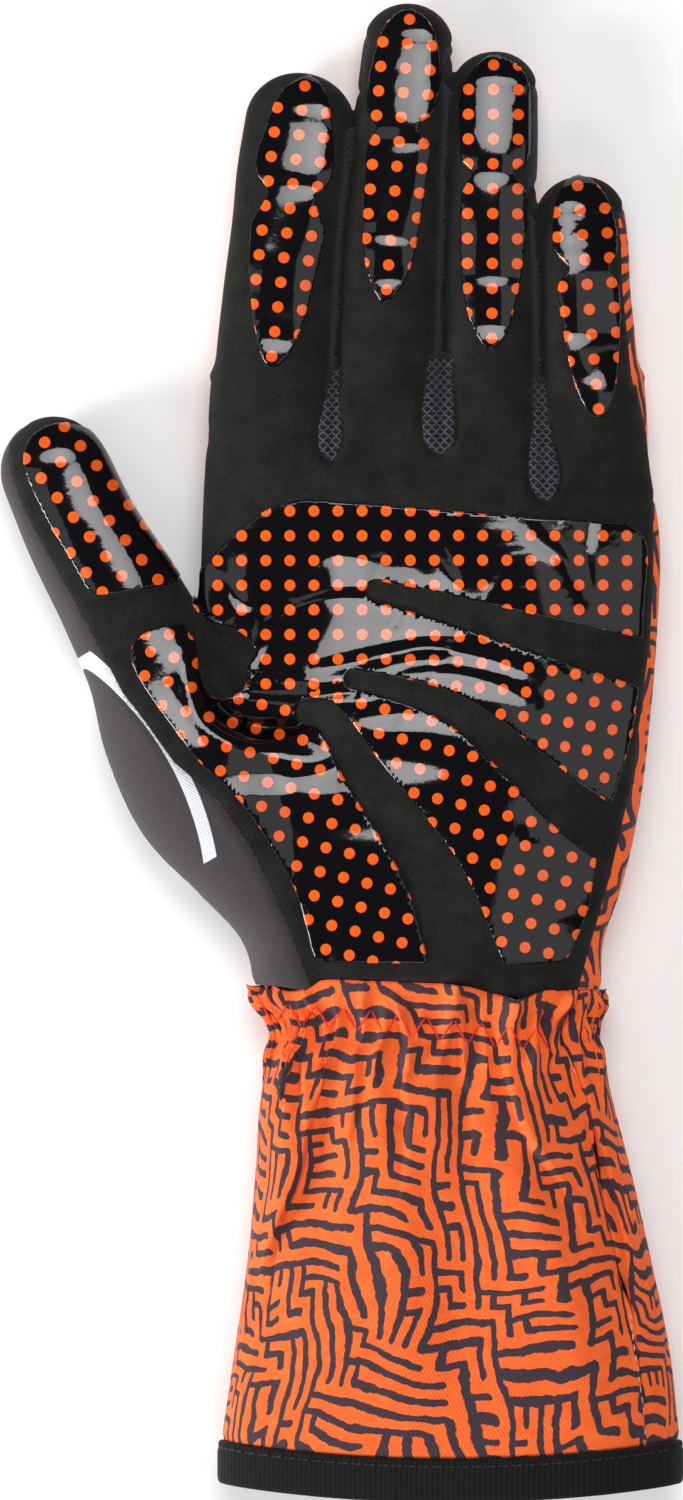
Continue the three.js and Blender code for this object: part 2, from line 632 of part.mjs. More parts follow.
// A value of a table of rows at a share along them, on a smooth curve through the rows
function rowValue(rows, column, along) {
  const last = rows.length - 1;
  let row = 0;
  while (row < last - 1 && along > rows[row + 1].along) row += 1;
  const at = (place) => rows[Math.min(Math.max(place, 0), last)][column];
  const run = rows[row + 1].along - rows[row].along;
  const t = (along - rows[row].along) / run;
  const slope = (place) => (at(place + 1) - at(place - 1)) / 2;
  const t2 = t * t;
  const t3 = t2 * t;
  return at(row) * (2 * t3 - 3 * t2 + 1) + slope(row) * (t3 - 2 * t2 + t)
    + at(row + 1) * (3 * t2 - 2 * t3) + slope(row + 1) * (t3 - t2);
}

// How far a fold or a gather lifts the cuff at a place
function cuffRelief(degrees, along) {
  let lift = 0;
  for (const fold of CUFF_FOLDS) {
    const run = (along - fold.along) / fold.reach;
    const side = (degrees - fold.around - fold.drift * (along - fold.along)) / fold.width;
    lift += fold.depth * FOLD_DEPTH / 2 * Math.exp(-side * side - run * run);
  }
  const gathers = Math.cos(GATHER_COUNT * radians(degrees));
  const fade = Math.min(1, along / 0.03);
  return lift * fade + gathers * GATHER_DEPTH / 2 * rowValue(CUFF_ROWS, 'ripple', along);
}

// A point of the cuff's cloth, by its angle and share along the cuff, taken in by an inset
function cuffPoint(degrees, along, inset) {
  const place = Math.min(along, 1);
  const wrist = rowValue(CUFF_ROWS, 'wrist', place);
  const hem = rowValue(CUFF_ROWS, 'hem', place);
  const height = wrist * WRIST_HEIGHT + hem * CUFF_HEIGHT;
  const grow = cuffRelief(degrees, place) - inset;
  const { across, up } = ringPoint(degrees);
  const halfWidth = (wrist * WRIST_WIDTH + hem * CUFF_WIDTH) / 2 + grow;
  const x = rowValue(CUFF_ROWS, 'shift', place) * CUFF_WIDTH + halfWidth * across;
  const sag = HEM_SAG * place * place * (1 - across * across);
  const y = -along * CUFF_LENGTH - sag;
  const z = height * REST_SHARE + (height / 2 + grow) * up;
  return new THREE.Vector3(x, y, Math.max(z, Math.max(inset, 0)));
}

// A panel of the cuff: each ring goes out along its outer face and back along its inner one
function cuffPanel(fromDegrees, toDegrees, steps) {
  const first = SEAM_GAP / CUFF_LENGTH;
  const last = 1 - SEAM_GAP / CUFF_LENGTH;
  const gapAngle = THREE.MathUtils.radToDeg(SEAM_GAP / WRIST_HEIGHT);
  const rings = [];
  for (let row = 0; row <= CUFF_STEPS.along; row += 1) {
    const along = THREE.MathUtils.lerp(first, last, (row / CUFF_STEPS.along) ** 1.2);
    const outer = [];
    const inner = [];
    for (let step = 0; step <= steps; step += 1) {
      const degrees = THREE.MathUtils.lerp(fromDegrees + gapAngle, toDegrees - gapAngle, step / steps);
      outer.push(cuffPoint(degrees, along, 0));
      inner.push(cuffPoint(degrees, along, WALL));
    }
    rings.push([...outer, ...inner.reverse()]);
  }
  return stripSkin(rings);
}

// Rings that are long and thin, closed at both ends by a strip between their two faces
function stripSkin(rings) {
  const sides = rings[0].length;
  const triangles = [];
  for (let row = 0; row < rings.length - 1; row += 1) {
    for (let side = 0; side < sides; side += 1) {
      const a = row * sides + side;
      const b = row * sides + (side + 1) % sides;
      triangles.push(a, b, b + sides, a, b + sides, a + sides);
    }
  }
  const last = (rings.length - 1) * sides;
  for (let side = 0; side < sides / 2 - 1; side += 1) {
    const across = sides - 1 - side;
    triangles.push(side, across, side + 1, side + 1, across, across - 1);
    triangles.push(last + side, last + side + 1, last + across);
    triangles.push(last + side + 1, last + across - 1, last + across);
  }
  const geometry = new THREE.BufferGeometry().setFromPoints(rings.flat());
  geometry.setIndex(triangles);
  return solidOf(geometry);
}

// The binding round the mouth: a rounded band, proud of the cuff on both faces
function hemBand() {
  const steps = CUFF_STEPS.front + CUFF_STEPS.back;
  const proud = (HEM_THICKNESS - WALL) / 2;
  const section = [
    { along: 0, inset: -proud }, { along: 0.85, inset: -proud }, { along: 1, inset: 0 },
    { along: 1, inset: WALL }, { along: 0.85, inset: WALL + proud }, { along: 0, inset: WALL + proud },
  ];
  const rings = [];
  for (let step = 0; step < steps; step += 1) {
    const degrees = 360 * step / steps;
    rings.push(section.map((corner) => {
      const along = 1 + corner.along * HEM_LENGTH / CUFF_LENGTH;
      return cuffPoint(degrees, along, corner.inset);
    }));
  }
  const sides = section.length;
  const triangles = [];
  for (let row = 0; row < steps; row += 1) {
    const next = (row + 1) % steps;
    for (let side = 0; side < sides; side += 1) {
      const after = (side + 1) % sides;
      triangles.push(row * sides + side, next * sides + after, row * sides + after);
      triangles.push(row * sides + side, next * sides + side, next * sides + after);
    }
  }
  const geometry = new THREE.BufferGeometry().setFromPoints(rings.flat());
  geometry.setIndex(triangles);
  return solidOf(geometry);
}

const suede = { color: 0x212121, roughness: 0.95, metalness: 0 };
const printedKnit = { color: 0xff6822, roughness: 0.8, metalness: 0 };
const greyKnit = { color: 0x443c42, roughness: 0.8, metalness: 0 };
const navyKnit = { color: 0x1e202a, roughness: 0.9, metalness: 0 };
const net = { color: 0x2d2e38, roughness: 0.9, metalness: 0 };
const gripFilm = { color: 0x121114, roughness: 0.2, metalness: 0 };
const binding = { color: 0x0f0f11, roughness: 0.9, metalness: 0 };

const glove = new THREE.Group();

function addPiece(name, solid, finish) {
  const mesh = new THREE.Mesh(geometryOf(solid), new THREE.MeshStandardMaterial(finish));
  mesh.name = name;
  glove.add(mesh);
}

addPiece('palm_panel', palmPanel, suede);
addPiece('back_panel', backPanel, printedKnit);
addPiece('thumb_side_panel', thumbSidePanel, greyKnit);
GUSSETS.forEach((gusset, place) => {
  addPiece(`fourchette_${gusset.after}_${gusset.before}`, sideWalls[place], navyKnit);
  addPiece(`web_gusset_${gusset.after}_${gusset.before}`, nets[place], net);
});
FINGER_GRIPS.forEach((grip, place) => {
  addPiece(`${grip.name}_grip`, fingerGrips[place], gripFilm);
});
addPiece('thumb_grip', thumbGrip, gripFilm);
addPiece('palm_grip', palmGrip, gripFilm);
addPiece('cuff_front', cuffPanel(CUFF_SEAM_RIGHT, CUFF_SEAM_LEFT, CUFF_STEPS.front), printedKnit);
addPiece('cuff_back', cuffPanel(CUFF_SEAM_LEFT, CUFF_SEAM_RIGHT + 360, CUFF_STEPS.back), printedKnit);
addPiece('cuff_hem', hemBand(), binding);

// The origin is under the middle of the glove's box
const box = new THREE.Box3().setFromObject(glove);
glove.position.set(-(box.min.x + box.max.x) / 2, -(box.min.y + box.max.y) / 2, -box.min.z);

export default glove;
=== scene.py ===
import bpy
import numpy as np
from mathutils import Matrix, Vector, kdtree
from mathutils.bvhtree import BVHTree


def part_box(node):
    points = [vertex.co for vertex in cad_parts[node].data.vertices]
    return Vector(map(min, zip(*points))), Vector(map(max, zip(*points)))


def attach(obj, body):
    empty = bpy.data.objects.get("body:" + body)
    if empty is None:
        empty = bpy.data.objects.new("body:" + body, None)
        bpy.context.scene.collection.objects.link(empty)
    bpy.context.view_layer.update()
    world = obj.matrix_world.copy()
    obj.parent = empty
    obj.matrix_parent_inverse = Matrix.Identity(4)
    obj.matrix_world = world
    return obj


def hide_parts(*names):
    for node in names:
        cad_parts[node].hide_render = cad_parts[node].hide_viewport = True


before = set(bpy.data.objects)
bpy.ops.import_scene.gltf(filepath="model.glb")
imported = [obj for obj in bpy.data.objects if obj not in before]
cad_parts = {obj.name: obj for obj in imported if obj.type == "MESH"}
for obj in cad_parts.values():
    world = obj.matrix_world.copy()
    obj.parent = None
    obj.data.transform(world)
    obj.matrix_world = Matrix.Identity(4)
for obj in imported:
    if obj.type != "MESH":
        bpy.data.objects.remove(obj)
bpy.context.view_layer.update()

# A long lens straight above the palm, so that the glove is drawn almost without perspective.
# One picture pixel of the 683 x 1500 frame is a fifth of a millimetre on the glove.
PIXEL = 0.2
PICTURE_TALL = 1500 * PIXEL / 1000
LENS_DISTANCE = 2.4
FOCUS_LEVEL = 0.008
SENSOR = 36.0

lens = bpy.data.cameras.new("camera")
lens.sensor_width = SENSOR
lens.lens = SENSOR * LENS_DISTANCE / PICTURE_TALL
lens.clip_end = 20
camera = bpy.data.objects.new("camera", lens)
camera.location = (-0.0001, 0.0, LENS_DISTANCE + FOCUS_LEVEL)
bpy.context.scene.collection.objects.link(camera)
bpy.context.scene.camera = camera
bpy.context.scene.view_settings.view_transform = "Standard"


# The hand of the glove: a palm, a thumb and four fingers, sewn from thin cloth over a last.
# It lies empty on its back, so it is flat below and swells towards the palm side.
# All lengths of the hand are in millimetres and are set into the frame at its wrist seam.
MM = 0.001
PALM_MIDDLE = 17.66
WRIST_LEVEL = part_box("palm_panel")[0].y / MM
PALM_WIDTH = 90
PALM_LENGTH = 119
PALM_HEIGHT = 24
WRIST_WIDTH = 65.8
WRIST_HEIGHT = 22.5
FINGER_LENGTH = 77.7
FINGER_HEIGHT = 15
THUMB_LENGTH = 39
THUMB_WIDTH = 24.8
THUMB_HEIGHT = 19
THUMB_LEAN = 23
ROUNDNESS = 2.35
REST_SHARE = 0.44
SIDE_SEAM_LEVEL = 0.53 * FINGER_HEIGHT
BACK_SEAM_LEVEL = 0.3 * FINGER_HEIGHT

# along, left, right, wrist, height
PALM_ROWS = [
    (-0.1, 0, 0, 1.04, 0), (0, 0, 0, 1.04, 0), (0.06, 0.25, 0.235, 0.4, 0.6),
    (0.17, 0.48, 0.426, 0, 1.0), (0.3, 0.52, 0.464, 0, 1.02), (0.45, 0.525, 0.488, 0, 1.0),
    (0.6, 0.512, 0.504, 0, 0.95), (0.74, 0.508, 0.51, 0, 0.87), (0.89, 0.498, 0.486, 0, 0.76),
    (1.0, 0.48, 0.47, 0, 0.6), (1.02, 0.476, 0.466, 0, 0.5),
]
# across, along, reach, bow, width, height
THUMB_ROWS = [
    (-0.293, -0.1, 0, 0, 0.65, 1.1), (-0.322, 0.1, 0, 0, 0.72, 1.16),
    (-0.386, 0.21, 0, 0, 1.08, 1.24), (-0.475, 0.328, 0, 0, 1.38, 1.26),
    (-0.558, 0.445, 0, 0, 1.3, 1.2), (-0.62, 0.546, 0, 0, 1.09, 1.08),
    (-0.682, 0.639, 0, 0, 1.02, 1.0), (-0.682, 0.639, 0.45, 0.05, 0.92, 0.9),
    (-0.682, 0.639, 0.76, 0.055, 0.88, 0.84),
]
# name, across, along, length, width, lean, bow
FINGERS = [
    ("index", -0.348, 1.0, 0.823, 0.266, 5.8, -0.01),
    ("middle", -0.093, 1.0, 1.0, 0.224, 3.6, -0.012),
    ("ring", 0.136, 1.0, 0.875, 0.208, 1.0, -0.004),
    ("little", 0.36, 0.985, 0.577, 0.214, -3.1, 0.0),
]
# along the shaft, width, height
FINGER_FORM = [
    (-0.26, 0.88, 1.0), (0, 0.99, 1.06), (0.34, 0.96, 1.01), (0.64, 0.915, 0.97),
    (0.8, 0.93, 0.93), (1.0, 0.9, 0.8),
]
TIP_ROUND = 0.95
THUMB_TIP_ROUND = 1.05
FINGER_OVERLAP = 0.3


def follow(keys, values, at):
    """Values at places along a row of keys, on a smooth curve through them"""
    keys = np.asarray(keys, float)
    values = np.asarray(values, float)
    slopes = np.gradient(values, keys, axis=0)
    row = np.clip(np.searchsorted(keys, at, side="right") - 1, 0, len(keys) - 2)
    run = keys[row + 1] - keys[row]
    t = np.clip((at - keys[row]) / run, 0, 1)
    if values.ndim > 1:
        t, run = t[:, None], run[:, None]
    rise = slopes[row] * run * (t**3 - 2 * t**2 + t) + slopes[row + 1] * run * (t**3 - t**2)
    return rise + values[row] * (2 * t**3 - 3 * t**2 + 1) + values[row + 1] * (3 * t**2 - 2 * t**3)


def on_palm(across, along):
    """A place given in shares of the palm's width and length"""
    return np.stack([
        PALM_MIDDLE + np.asarray(across, float) * PALM_WIDTH,
        WRIST_LEVEL + np.asarray(along, float) * PALM_LENGTH,
    ], -1)


def finger_line(finger, along):
    """Points of a finger's own middle line"""
    _, across, start, length, _, lean, bow = finger
    out = np.array([np.sin(np.radians(lean)), np.cos(np.radians(lean))])
    side = np.array([out[1], -out[0]])
    along = np.asarray(along, float)[:, None]
    bend = 4 * bow * FINGER_LENGTH * along * (1 - along)
    return on_palm(across, start) + out * along * length * FINGER_LENGTH + side * bend


def limb(line, left, right, height, tip_round):
    """A tube of cloth along a line, with a round far end"""
    step = np.linalg.norm(np.gradient(line, axis=0), axis=1)
    run = np.gradient(line, axis=0) / step[:, None]
    reach = tip_round * (left[-1] + right[-1]) / 2
    return {"line": line, "run": run, "left": left, "right": right, "height": height,
            "reach": reach}


def palm_limb():
    along = np.linspace(-0.1, 1.02, 260)
    rows = np.array(PALM_ROWS)
    _, left, right, wrist, height = [follow(rows[:, 0], rows[:, i], along) for i in range(5)]
    left = left * PALM_WIDTH + wrist * WRIST_WIDTH / 2
    right = right * PALM_WIDTH + wrist * WRIST_WIDTH / 2
    tall = height * PALM_HEIGHT + wrist * WRIST_HEIGHT
    return limb(on_palm(0 * along, along), left, right, tall, 0.06)


def thumb_limb():
    lean = np.radians(THUMB_LEAN)
    out = np.array([-np.sin(lean), np.cos(lean)])
    side = np.array([-out[1], out[0]])
    rows = np.array(THUMB_ROWS)
    middles = on_palm(rows[:, 0], rows[:, 1]) + out * rows[:, 2:3] * THUMB_LENGTH
    middles = middles + side * rows[:, 3:4] * THUMB_LENGTH
    steps = np.linalg.norm(np.diff(middles, axis=0), axis=1)
    keys = np.concatenate([[0], np.cumsum(steps)])
    at = np.linspace(0, keys[-1], 260)
    half = follow(keys, rows[:, 4], at) * THUMB_WIDTH / 2
    tall = follow(keys, rows[:, 5], at) * THUMB_HEIGHT
    return limb(follow(keys, middles, at), half, half, tall, THUMB_TIP_ROUND)


def finger_limbs():
    """The four fingers, each widened just far enough to meet its neighbours"""
    limbs = []
    for finger in FINGERS:
        _, _, _, length, width, _, _ = finger
        rows = np.array(FINGER_FORM)
        tip = TIP_ROUND * rows[-1, 1] * width * PALM_WIDTH / 2
        shaft = 1 - tip / (length * FINGER_LENGTH)
        share = np.linspace(-0.26, 1, 200)
        half = follow(rows[:, 0], rows[:, 1], share) * width * PALM_WIDTH / 2
        tall = follow(rows[:, 0], rows[:, 2], share) * FINGER_HEIGHT
        limbs.append(limb(finger_line(finger, share * shaft), half, half.copy(), tall, TIP_ROUND))
    for first, second in zip(limbs, limbs[1:]):
        for one, other, facing in ((first, second, "right"), (second, first, "left")):
            apart = np.linalg.norm(one["line"][:, None] - other["line"][None], axis=2)
            near = apart.argmin(1)
            back = "left" if facing == "right" else "right"
            gap = apart.min(1) - one[facing] - other[back][near]
            beside = (near < len(other["line"]) - 1) & (near > 0)
            one[facing + "_grow"] = np.where(beside, gap / 2 + FINGER_OVERLAP, 0)
    for one in limbs:
        for facing in ("left", "right"):
            if facing + "_grow" in one:
                grow = one.pop(facing + "_grow")
                smooth = np.convolve(np.pad(grow, 8, mode="edge"), np.ones(17) / 17, mode="valid")
                one[facing] = one[facing] + smooth
    return limbs


# A lattice of levels over the hand, below zero inside the cloth and above zero outside it
PITCH = 0.79
NEAR_X = np.arange(-70.5, 70.5, PITCH)
NEAR_Y = np.arange(WRIST_LEVEL - 8, 152, PITCH)
NEAR_Z = np.arange(-2.8, 28, PITCH)
START = np.array([NEAR_X[0], NEAR_Y[0], NEAR_Z[0]])


def levels_of(one):
    """How far each point of the lattice is from the skin of a tube of cloth"""
    plan = np.stack(np.meshgrid(NEAR_X, NEAR_Y, indexing="ij"), -1).reshape(-1, 2)
    near = np.concatenate([
        ((part[:, None] - one["line"][None]) ** 2).sum(2).argmin(1)
        for part in np.array_split(plan, 40)
    ])
    away = plan - one["line"][near]
    run = one["run"][near]
    ahead = (away * run).sum(1)
    aside = away[:, 0] * run[:, 1] - away[:, 1] * run[:, 0]
    half = np.where(aside > 0, one["right"][near], one["left"][near])
    last = len(one["line"]) - 1
    past = np.where(near == last, np.maximum(ahead, 0) / one["reach"], 0)
    past = past + np.where(near == 0, np.maximum(-ahead, 0) / (2 * one["reach"]), 0)
    shape = (len(NEAR_X), len(NEAR_Y), 1)
    across = np.abs(aside / half).reshape(shape)
    tall = one["height"][near].reshape(shape)
    up = np.abs(NEAR_Z[None, None] - tall * REST_SHARE) / (tall / 2)
    ring = (across**ROUNDNESS + up**ROUNDNESS) ** (1 / ROUNDNESS)
    value = np.sqrt(ring**2 + past.reshape(shape) ** 2) - 1
    slope = np.sqrt(sum(g * g for g in np.gradient(value, PITCH)))
    return np.clip(value / np.maximum(slope, 0.02), -12, 12)


def blended(first, second, reach):
    """Two shapes joined, with a round valley between them"""
    near = np.maximum(reach - np.abs(first - second), 0) / reach
    return np.minimum(first, second) - near * near * reach / 4


def hand_levels():
    levels = levels_of(finger_tubes[0])
    for finger in finger_tubes[1:]:
        levels = blended(levels, levels_of(finger), 0.4)
    levels = blended(levels, levels_of(palm_limb()), 3.5)
    levels = blended(levels, levels_of(thumb_limb()), 2.6)
    return -blended(-levels, NEAR_Z[None, None] + 0 * levels, 1.2)


def skin_of(levels):
    """The zero level of the lattice as points and four-sided faces"""
    cells = np.array(levels.shape) - 1
    total = np.zeros((*cells, 3), np.float32)
    count = np.zeros(cells, np.float32)
    crossings = []
    for axis in range(3):
        low = np.moveaxis(levels, axis, 0)[:-1]
        high = np.moveaxis(levels, axis, 0)[1:]
        cross = (low < 0) != (high < 0)
        share = np.where(cross, low / np.where(cross, low - high, 1), 0)
        place = np.moveaxis(np.indices(cross.shape).astype(np.float32), 0, -1)
        place[..., 0] += share
        crossings.append((cross, low < 0))
        sizes = cells[[axis, *[a for a in range(3) if a != axis]]]
        for one in (0, 1):
            for two in (0, 1):
                part = (slice(None), slice(one, one + sizes[1]), slice(two, two + sizes[2]))
                count_view = np.moveaxis(count, axis, 0)
                total_view = np.moveaxis(total, axis, 0)
                count_view += cross[part]
                order = [1, 2]
                order.insert(axis, 0)
                total_view += (place[part] * cross[part][..., None])[..., order]
    number = np.full(cells, -1)
    used = count > 0
    number[used] = np.arange(used.sum())
    points = START + total[used] / count[used][:, None] * PITCH
    faces = []
    for axis, (cross, inside) in enumerate(crossings):
        table = np.moveaxis(number, axis, 0)
        core = (slice(None), slice(1, -1), slice(1, -1))
        i, j, k = np.nonzero(cross[core])
        ring = np.stack([table[i, j, k], table[i, j + 1, k],
                         table[i, j + 1, k + 1], table[i, j, k + 1]], 1)
        flip = inside[core][i, j, k] != (axis == 1)
        ring[~flip] = ring[~flip][:, ::-1]
        faces.append(ring)
    return points, np.concatenate(faces)


def sampled(grid, points):
    """Values of the lattice between its points"""
    place = np.clip((points - START) / PITCH, 0, np.array(grid.shape[:3]) - 1.001)
    cell = place.astype(int)
    share = place - cell
    value = 0
    for corner in np.ndindex(2, 2, 2):
        weight = np.prod(np.where(corner, share, 1 - share), axis=1)
        found = grid[tuple((cell + corner).T)]
        value = value + (found * weight if found.ndim == 1 else found * weight[:, None])
    return value


def evened(points, faces, levels):
    """The same skin with its points spread evenly over it"""
    edges = np.concatenate([faces[:, [i, (i + 1) % 4]] for i in range(4)])
    ends = np.concatenate([edges[:, 0], edges[:, 1]])
    others = np.concatenate([edges[:, 1], edges[:, 0]])
    degree = np.bincount(ends, minlength=len(points))[:, None]
    slope = np.stack(np.gradient(levels, PITCH), -1).astype(np.float32)
    for _ in range(4):
        middle = np.stack([np.bincount(ends, points[others, a], len(points)) for a in range(3)], 1)
        points = points + 0.6 * (middle / degree - points)
        for _ in range(2):
            normal = sampled(slope, points)
            size = (normal * normal).sum(1, keepdims=True)
            points = points - normal * (sampled(levels, points)[:, None] / np.maximum(size, 0.1))
    return points


finger_tubes = finger_limbs()
hand = hand_levels()
skin, quads = skin_of(hand)
skin = evened(skin, quads, hand)
skin_faces = np.concatenate([quads[:, [0, 1, 2]], quads[:, [0, 2, 3]]])


# Plan of the panels. The suede covers the palm, the palm side of the fingers and the front of
# the thumb; navy strips and nets fill the gaps between the fingers; knit makes up the rest.
SIDE_WALL_SHOWING = (0.2, 1.3)
TIP_WRAP = 2.5
TIP_SEAM_DROP = 5.2
OUTER_SEAM_DROP = 4.2
OUTER_SIDE_WRAP = 4.0
LITTLE_SIDE_SHOWING = 1.3
SNAP = 0.05
WRIST_SEAM = [
    (-40, -46.9), (-16.2, -46.9), (-8.4, -47.7), (-6, -46.9), (-2.2, -45.5), (15.2, -46.1),
    (23, -46.5), (29.2, -48.1), (36.2, -49.3), (40.4, -47.9), (47.8, -47.7), (60, -47.7),
]
# In hundredths of the palm's width and length
SUEDE_EDGE = [
    (-26.2, -6), (-26.2, -0.8), (-30.7, 8.7), (-35.3, 16.6), (-39.8, 23.5), (-47.1, 31.4),
    (-56.9, 37.6), (-63.8, 44.9), (-68.4, 49.2), (-77.3, 62), (-86.4, 74.3), (-90.7, 80.2),
    (-93.4, 85.7), (-94.4, 92), (-92, 98), (-84, 99), (-76, 96.5), (-60, 84), (-54.4, 72),
    (-53.6, 67.5), (-53, 72), (-54, 102), (0, 102), (46.2, 101), (49.2, 90), (49.9, 82),
    (50, 72), (49.2, 58.5), (47.4, 48.6), (45.2, 35.3), (40.2, 18.7), (36, 7.4), (32.9, -0.5),
    (31, -6),
]
THUMB_SIDE_EDGE = [
    (-120, -6), (-120, 120), (-56, 120), (-53.2, 80), (-52.4, 65), (-48, 48), (-38, 31),
    (-28, 14.5), (-19, 0), (-16, -6),
]
# Middle and half width of each net, from the gap down to its round foot
NETS = {
    "index_middle": [(-1.2, 77, 0.8), (-1.6, 73, 1.2), (-2.0, 69, 1.7), (-2.4, 64.5, 2.3),
                     (-2.4, 61.5, 2.4), (-2.3, 59, 1.7), (-2.2, 57.8, 0.6)],
    "middle_ring": [(19.8, 79, 2.2), (19.4, 74, 2.7), (19.2, 69, 3.1), (19.3, 64.5, 3.4),
                    (19.4, 61.5, 3.0), (19.4, 59.9, 1.9), (19.4, 59.1, 0.7)],
    "ring_little": [(39.4, 74, 1.1), (39.6, 69, 1.5), (39.8, 62, 2.2), (40.2, 56.5, 3.1),
                    (40.4, 53, 2.9), (40.4, 50.8, 1.9), (40.4, 49.7, 0.7)],
}
CROTCH_SHARE = -0.04


def plan_distance(places, outline, near=4.0):
    """Distance from an outline in plan, below zero inside it"""
    outline = np.asarray(outline, float)
    low, high = outline.min(0) - near, outline.max(0) + near
    close = ((places > low) & (places < high)).all(1)
    spots = places[close]
    best = np.full(len(spots), 1e9)
    inside = np.zeros(len(spots), bool)
    for start, end in zip(outline, np.roll(outline, -1, axis=0)):
        run = end - start
        share = np.clip(((spots - start) @ run) / (run @ run), 0, 1)
        best = np.minimum(best, ((spots - start - share[:, None] * run) ** 2).sum(1))
        passes = (start[1] > spots[:, 1]) != (end[1] > spots[:, 1])
        rise = run[1] if abs(run[1]) > 1e-9 else 1e-9
        inside ^= passes & (spots[:, 0] < start[0] + run[0] * (spots[:, 1] - start[1]) / rise)
    distance = np.full(len(places), near)
    distance[close] = np.where(inside, -1, 1) * np.sqrt(best)
    return distance


def rounded(corners, steps=5, closed=True):
    """A smooth line through a few corners"""
    corners = np.asarray(corners, float)
    if closed:
        padded = np.concatenate([corners[-1:], corners, corners[:2]])
    else:
        padded = np.concatenate([2 * corners[:1] - corners[1:2], corners,
                                 2 * corners[-1:] - corners[-2:-1]])
    line = []
    for a, b, c, d in zip(padded, padded[1:], padded[2:], padded[3:]):
        for t in np.arange(steps) / steps:
            line.append(b + 0.5 * t * (c - a + t * (2 * a - 5 * b + 4 * c - d
                                                    + t * (3 * (b - c) + d - a))))
    if not closed:
        line.append(corners[-1])
    return np.array(line)


def cut(points, faces, tags, field):
    """Cuts every face along the line where a field is zero; its parts keep the face's tag"""
    side = np.sign(np.where(np.abs(field) < SNAP, 0, field))
    ends = np.stack([faces, np.roll(faces, -1, axis=1)], -1)
    crossed = side[ends[..., 0]] * side[ends[..., 1]] < 0
    keys = ends.min(2) * len(points) + ends.max(2)
    wanted, place = np.unique(keys[crossed], return_inverse=True)
    first, second = wanted // len(points), wanted % len(points)
    share = field[first] / (field[first] - field[second])
    fresh = points[first] + (points[second] - points[first]) * share[:, None]
    number = np.full(crossed.shape, -1)
    number[crossed] = len(points) + place
    hits = crossed.sum(1)
    parts, marks = [faces[hits == 0]], [tags[hits == 0]]
    for corner in range(3):
        rows = (hits == 2) & ~crossed[:, (corner + 1) % 3]
        a, b, c = np.roll(faces[rows], -corner, axis=1).T
        p, q = number[rows, corner], number[rows, (corner + 2) % 3]
        parts += [np.stack([a, p, q], 1), np.stack([p, b, c], 1), np.stack([p, c, q], 1)]
        marks += [tags[rows]] * 3
        rows = (hits == 1) & crossed[:, corner]
        a, b, c = np.roll(faces[rows], -corner, axis=1).T
        p = number[rows, corner]
        parts += [np.stack([a, p, c], 1), np.stack([p, b, c], 1)]
        marks += [tags[rows]] * 2
    points = np.concatenate([points, fresh])
    field = np.concatenate([np.where(side == 0, 0, field), np.zeros(len(fresh))])
    return points, np.concatenate(parts), np.concatenate(marks), field


def beside(one, places):
    """Where places lie along and beside a limb: its half width, the offset, the overrun"""
    near = np.concatenate([
        ((part[:, None] - one["line"][None]) ** 2).sum(2).argmin(1)
        for part in np.array_split(places, 40)
    ])
    away = places - one["line"][near]
    run = one["run"][near]
    aside = away[:, 0] * run[:, 1] - away[:, 1] * run[:, 0]
    half = np.where(aside > 0, one["right"][near], one["left"][near])
    past = np.where(near == len(one["line"]) - 1, (away * run).sum(1) / one["reach"], 0)
    return half, aside, np.maximum(past, 0)


def suede_field(points):
    """Below zero on the suede, seen in plan and above the level of the side seams"""
    plan = points[:, :2]
    shares = np.array(SUEDE_EDGE) / 100
    field = plan_distance(plan, on_palm(shares[:, 0], shares[:, 1]))
    outer = np.clip((-8 - plan[:, 0]) / 3, 0, 1) * np.clip((plan[:, 1] - 22) / 4, 0, 1)
    drop = OUTER_SEAM_DROP * outer * (1 - np.exp(-((plan[:, 1] - 62.5) / 3.6) ** 4))
    for place, finger in enumerate(finger_tubes):
        half, aside, past = beside(finger, plan)
        showing = np.where(aside > 0, SIDE_WALL_SHOWING[1], SIDE_WALL_SHOWING[0])
        if place == 0:
            showing[aside < 0] = -OUTER_SIDE_WRAP
        if place == 3:
            showing[aside > 0] = LITTLE_SIDE_SHOWING
        tip = np.sqrt((aside / half) ** 2 + past**2)
        round_tip = np.clip(past / 0.35, 0, 1)
        limit = (tip - 1) * half + showing + round_tip * (-TIP_WRAP - showing)
        drop = np.where(tip < 1.3, np.maximum(drop, TIP_SEAM_DROP * round_tip), drop)
        field = np.minimum(field, np.where(plan[:, 1] > finger["line"][0, 1], limit, 4))
    return np.maximum(field, SIDE_SEAM_LEVEL - drop - points[:, 2])


def net_outline(rows):
    rows = np.array(rows)
    left = rows[:, :2] - rows[:, 2:] * [1, 0]
    right = rows[:, :2] + rows[:, 2:] * [1, 0]
    return rounded(np.concatenate([left, right[::-1]]), 4)


def gap_fields(points):
    """One field for each gap between two fingers, below zero between their middle lines"""
    asides = [beside(finger, points[:, :2])[1] for finger in finger_tubes]
    starts = [finger_line(finger, [CROTCH_SHARE])[0, 1] for finger in FINGERS]
    return [
        np.maximum.reduce([-asides[gap], asides[gap + 1],
                           min(starts[gap], starts[gap + 1]) - points[:, 1],
                           BACK_SEAM_LEVEL - points[:, 2]])
        for gap in range(3)
    ]


BACK, SUEDE, THUMB_SIDE, STRIPS, WEBS, OFF = 0, 1, 2, 3, 6, 9
tags = np.zeros(len(skin_faces), int)


def mark(points, faces, tags, field, tag, over):
    """Cuts along a field and gives a tag to the faces below zero that have a listed tag"""
    points, faces, tags, field = cut(points, faces, tags, field)
    below = (field[faces].mean(1) < 0) & np.isin(tags, over)
    tags[below] = tag
    return points, faces, tags


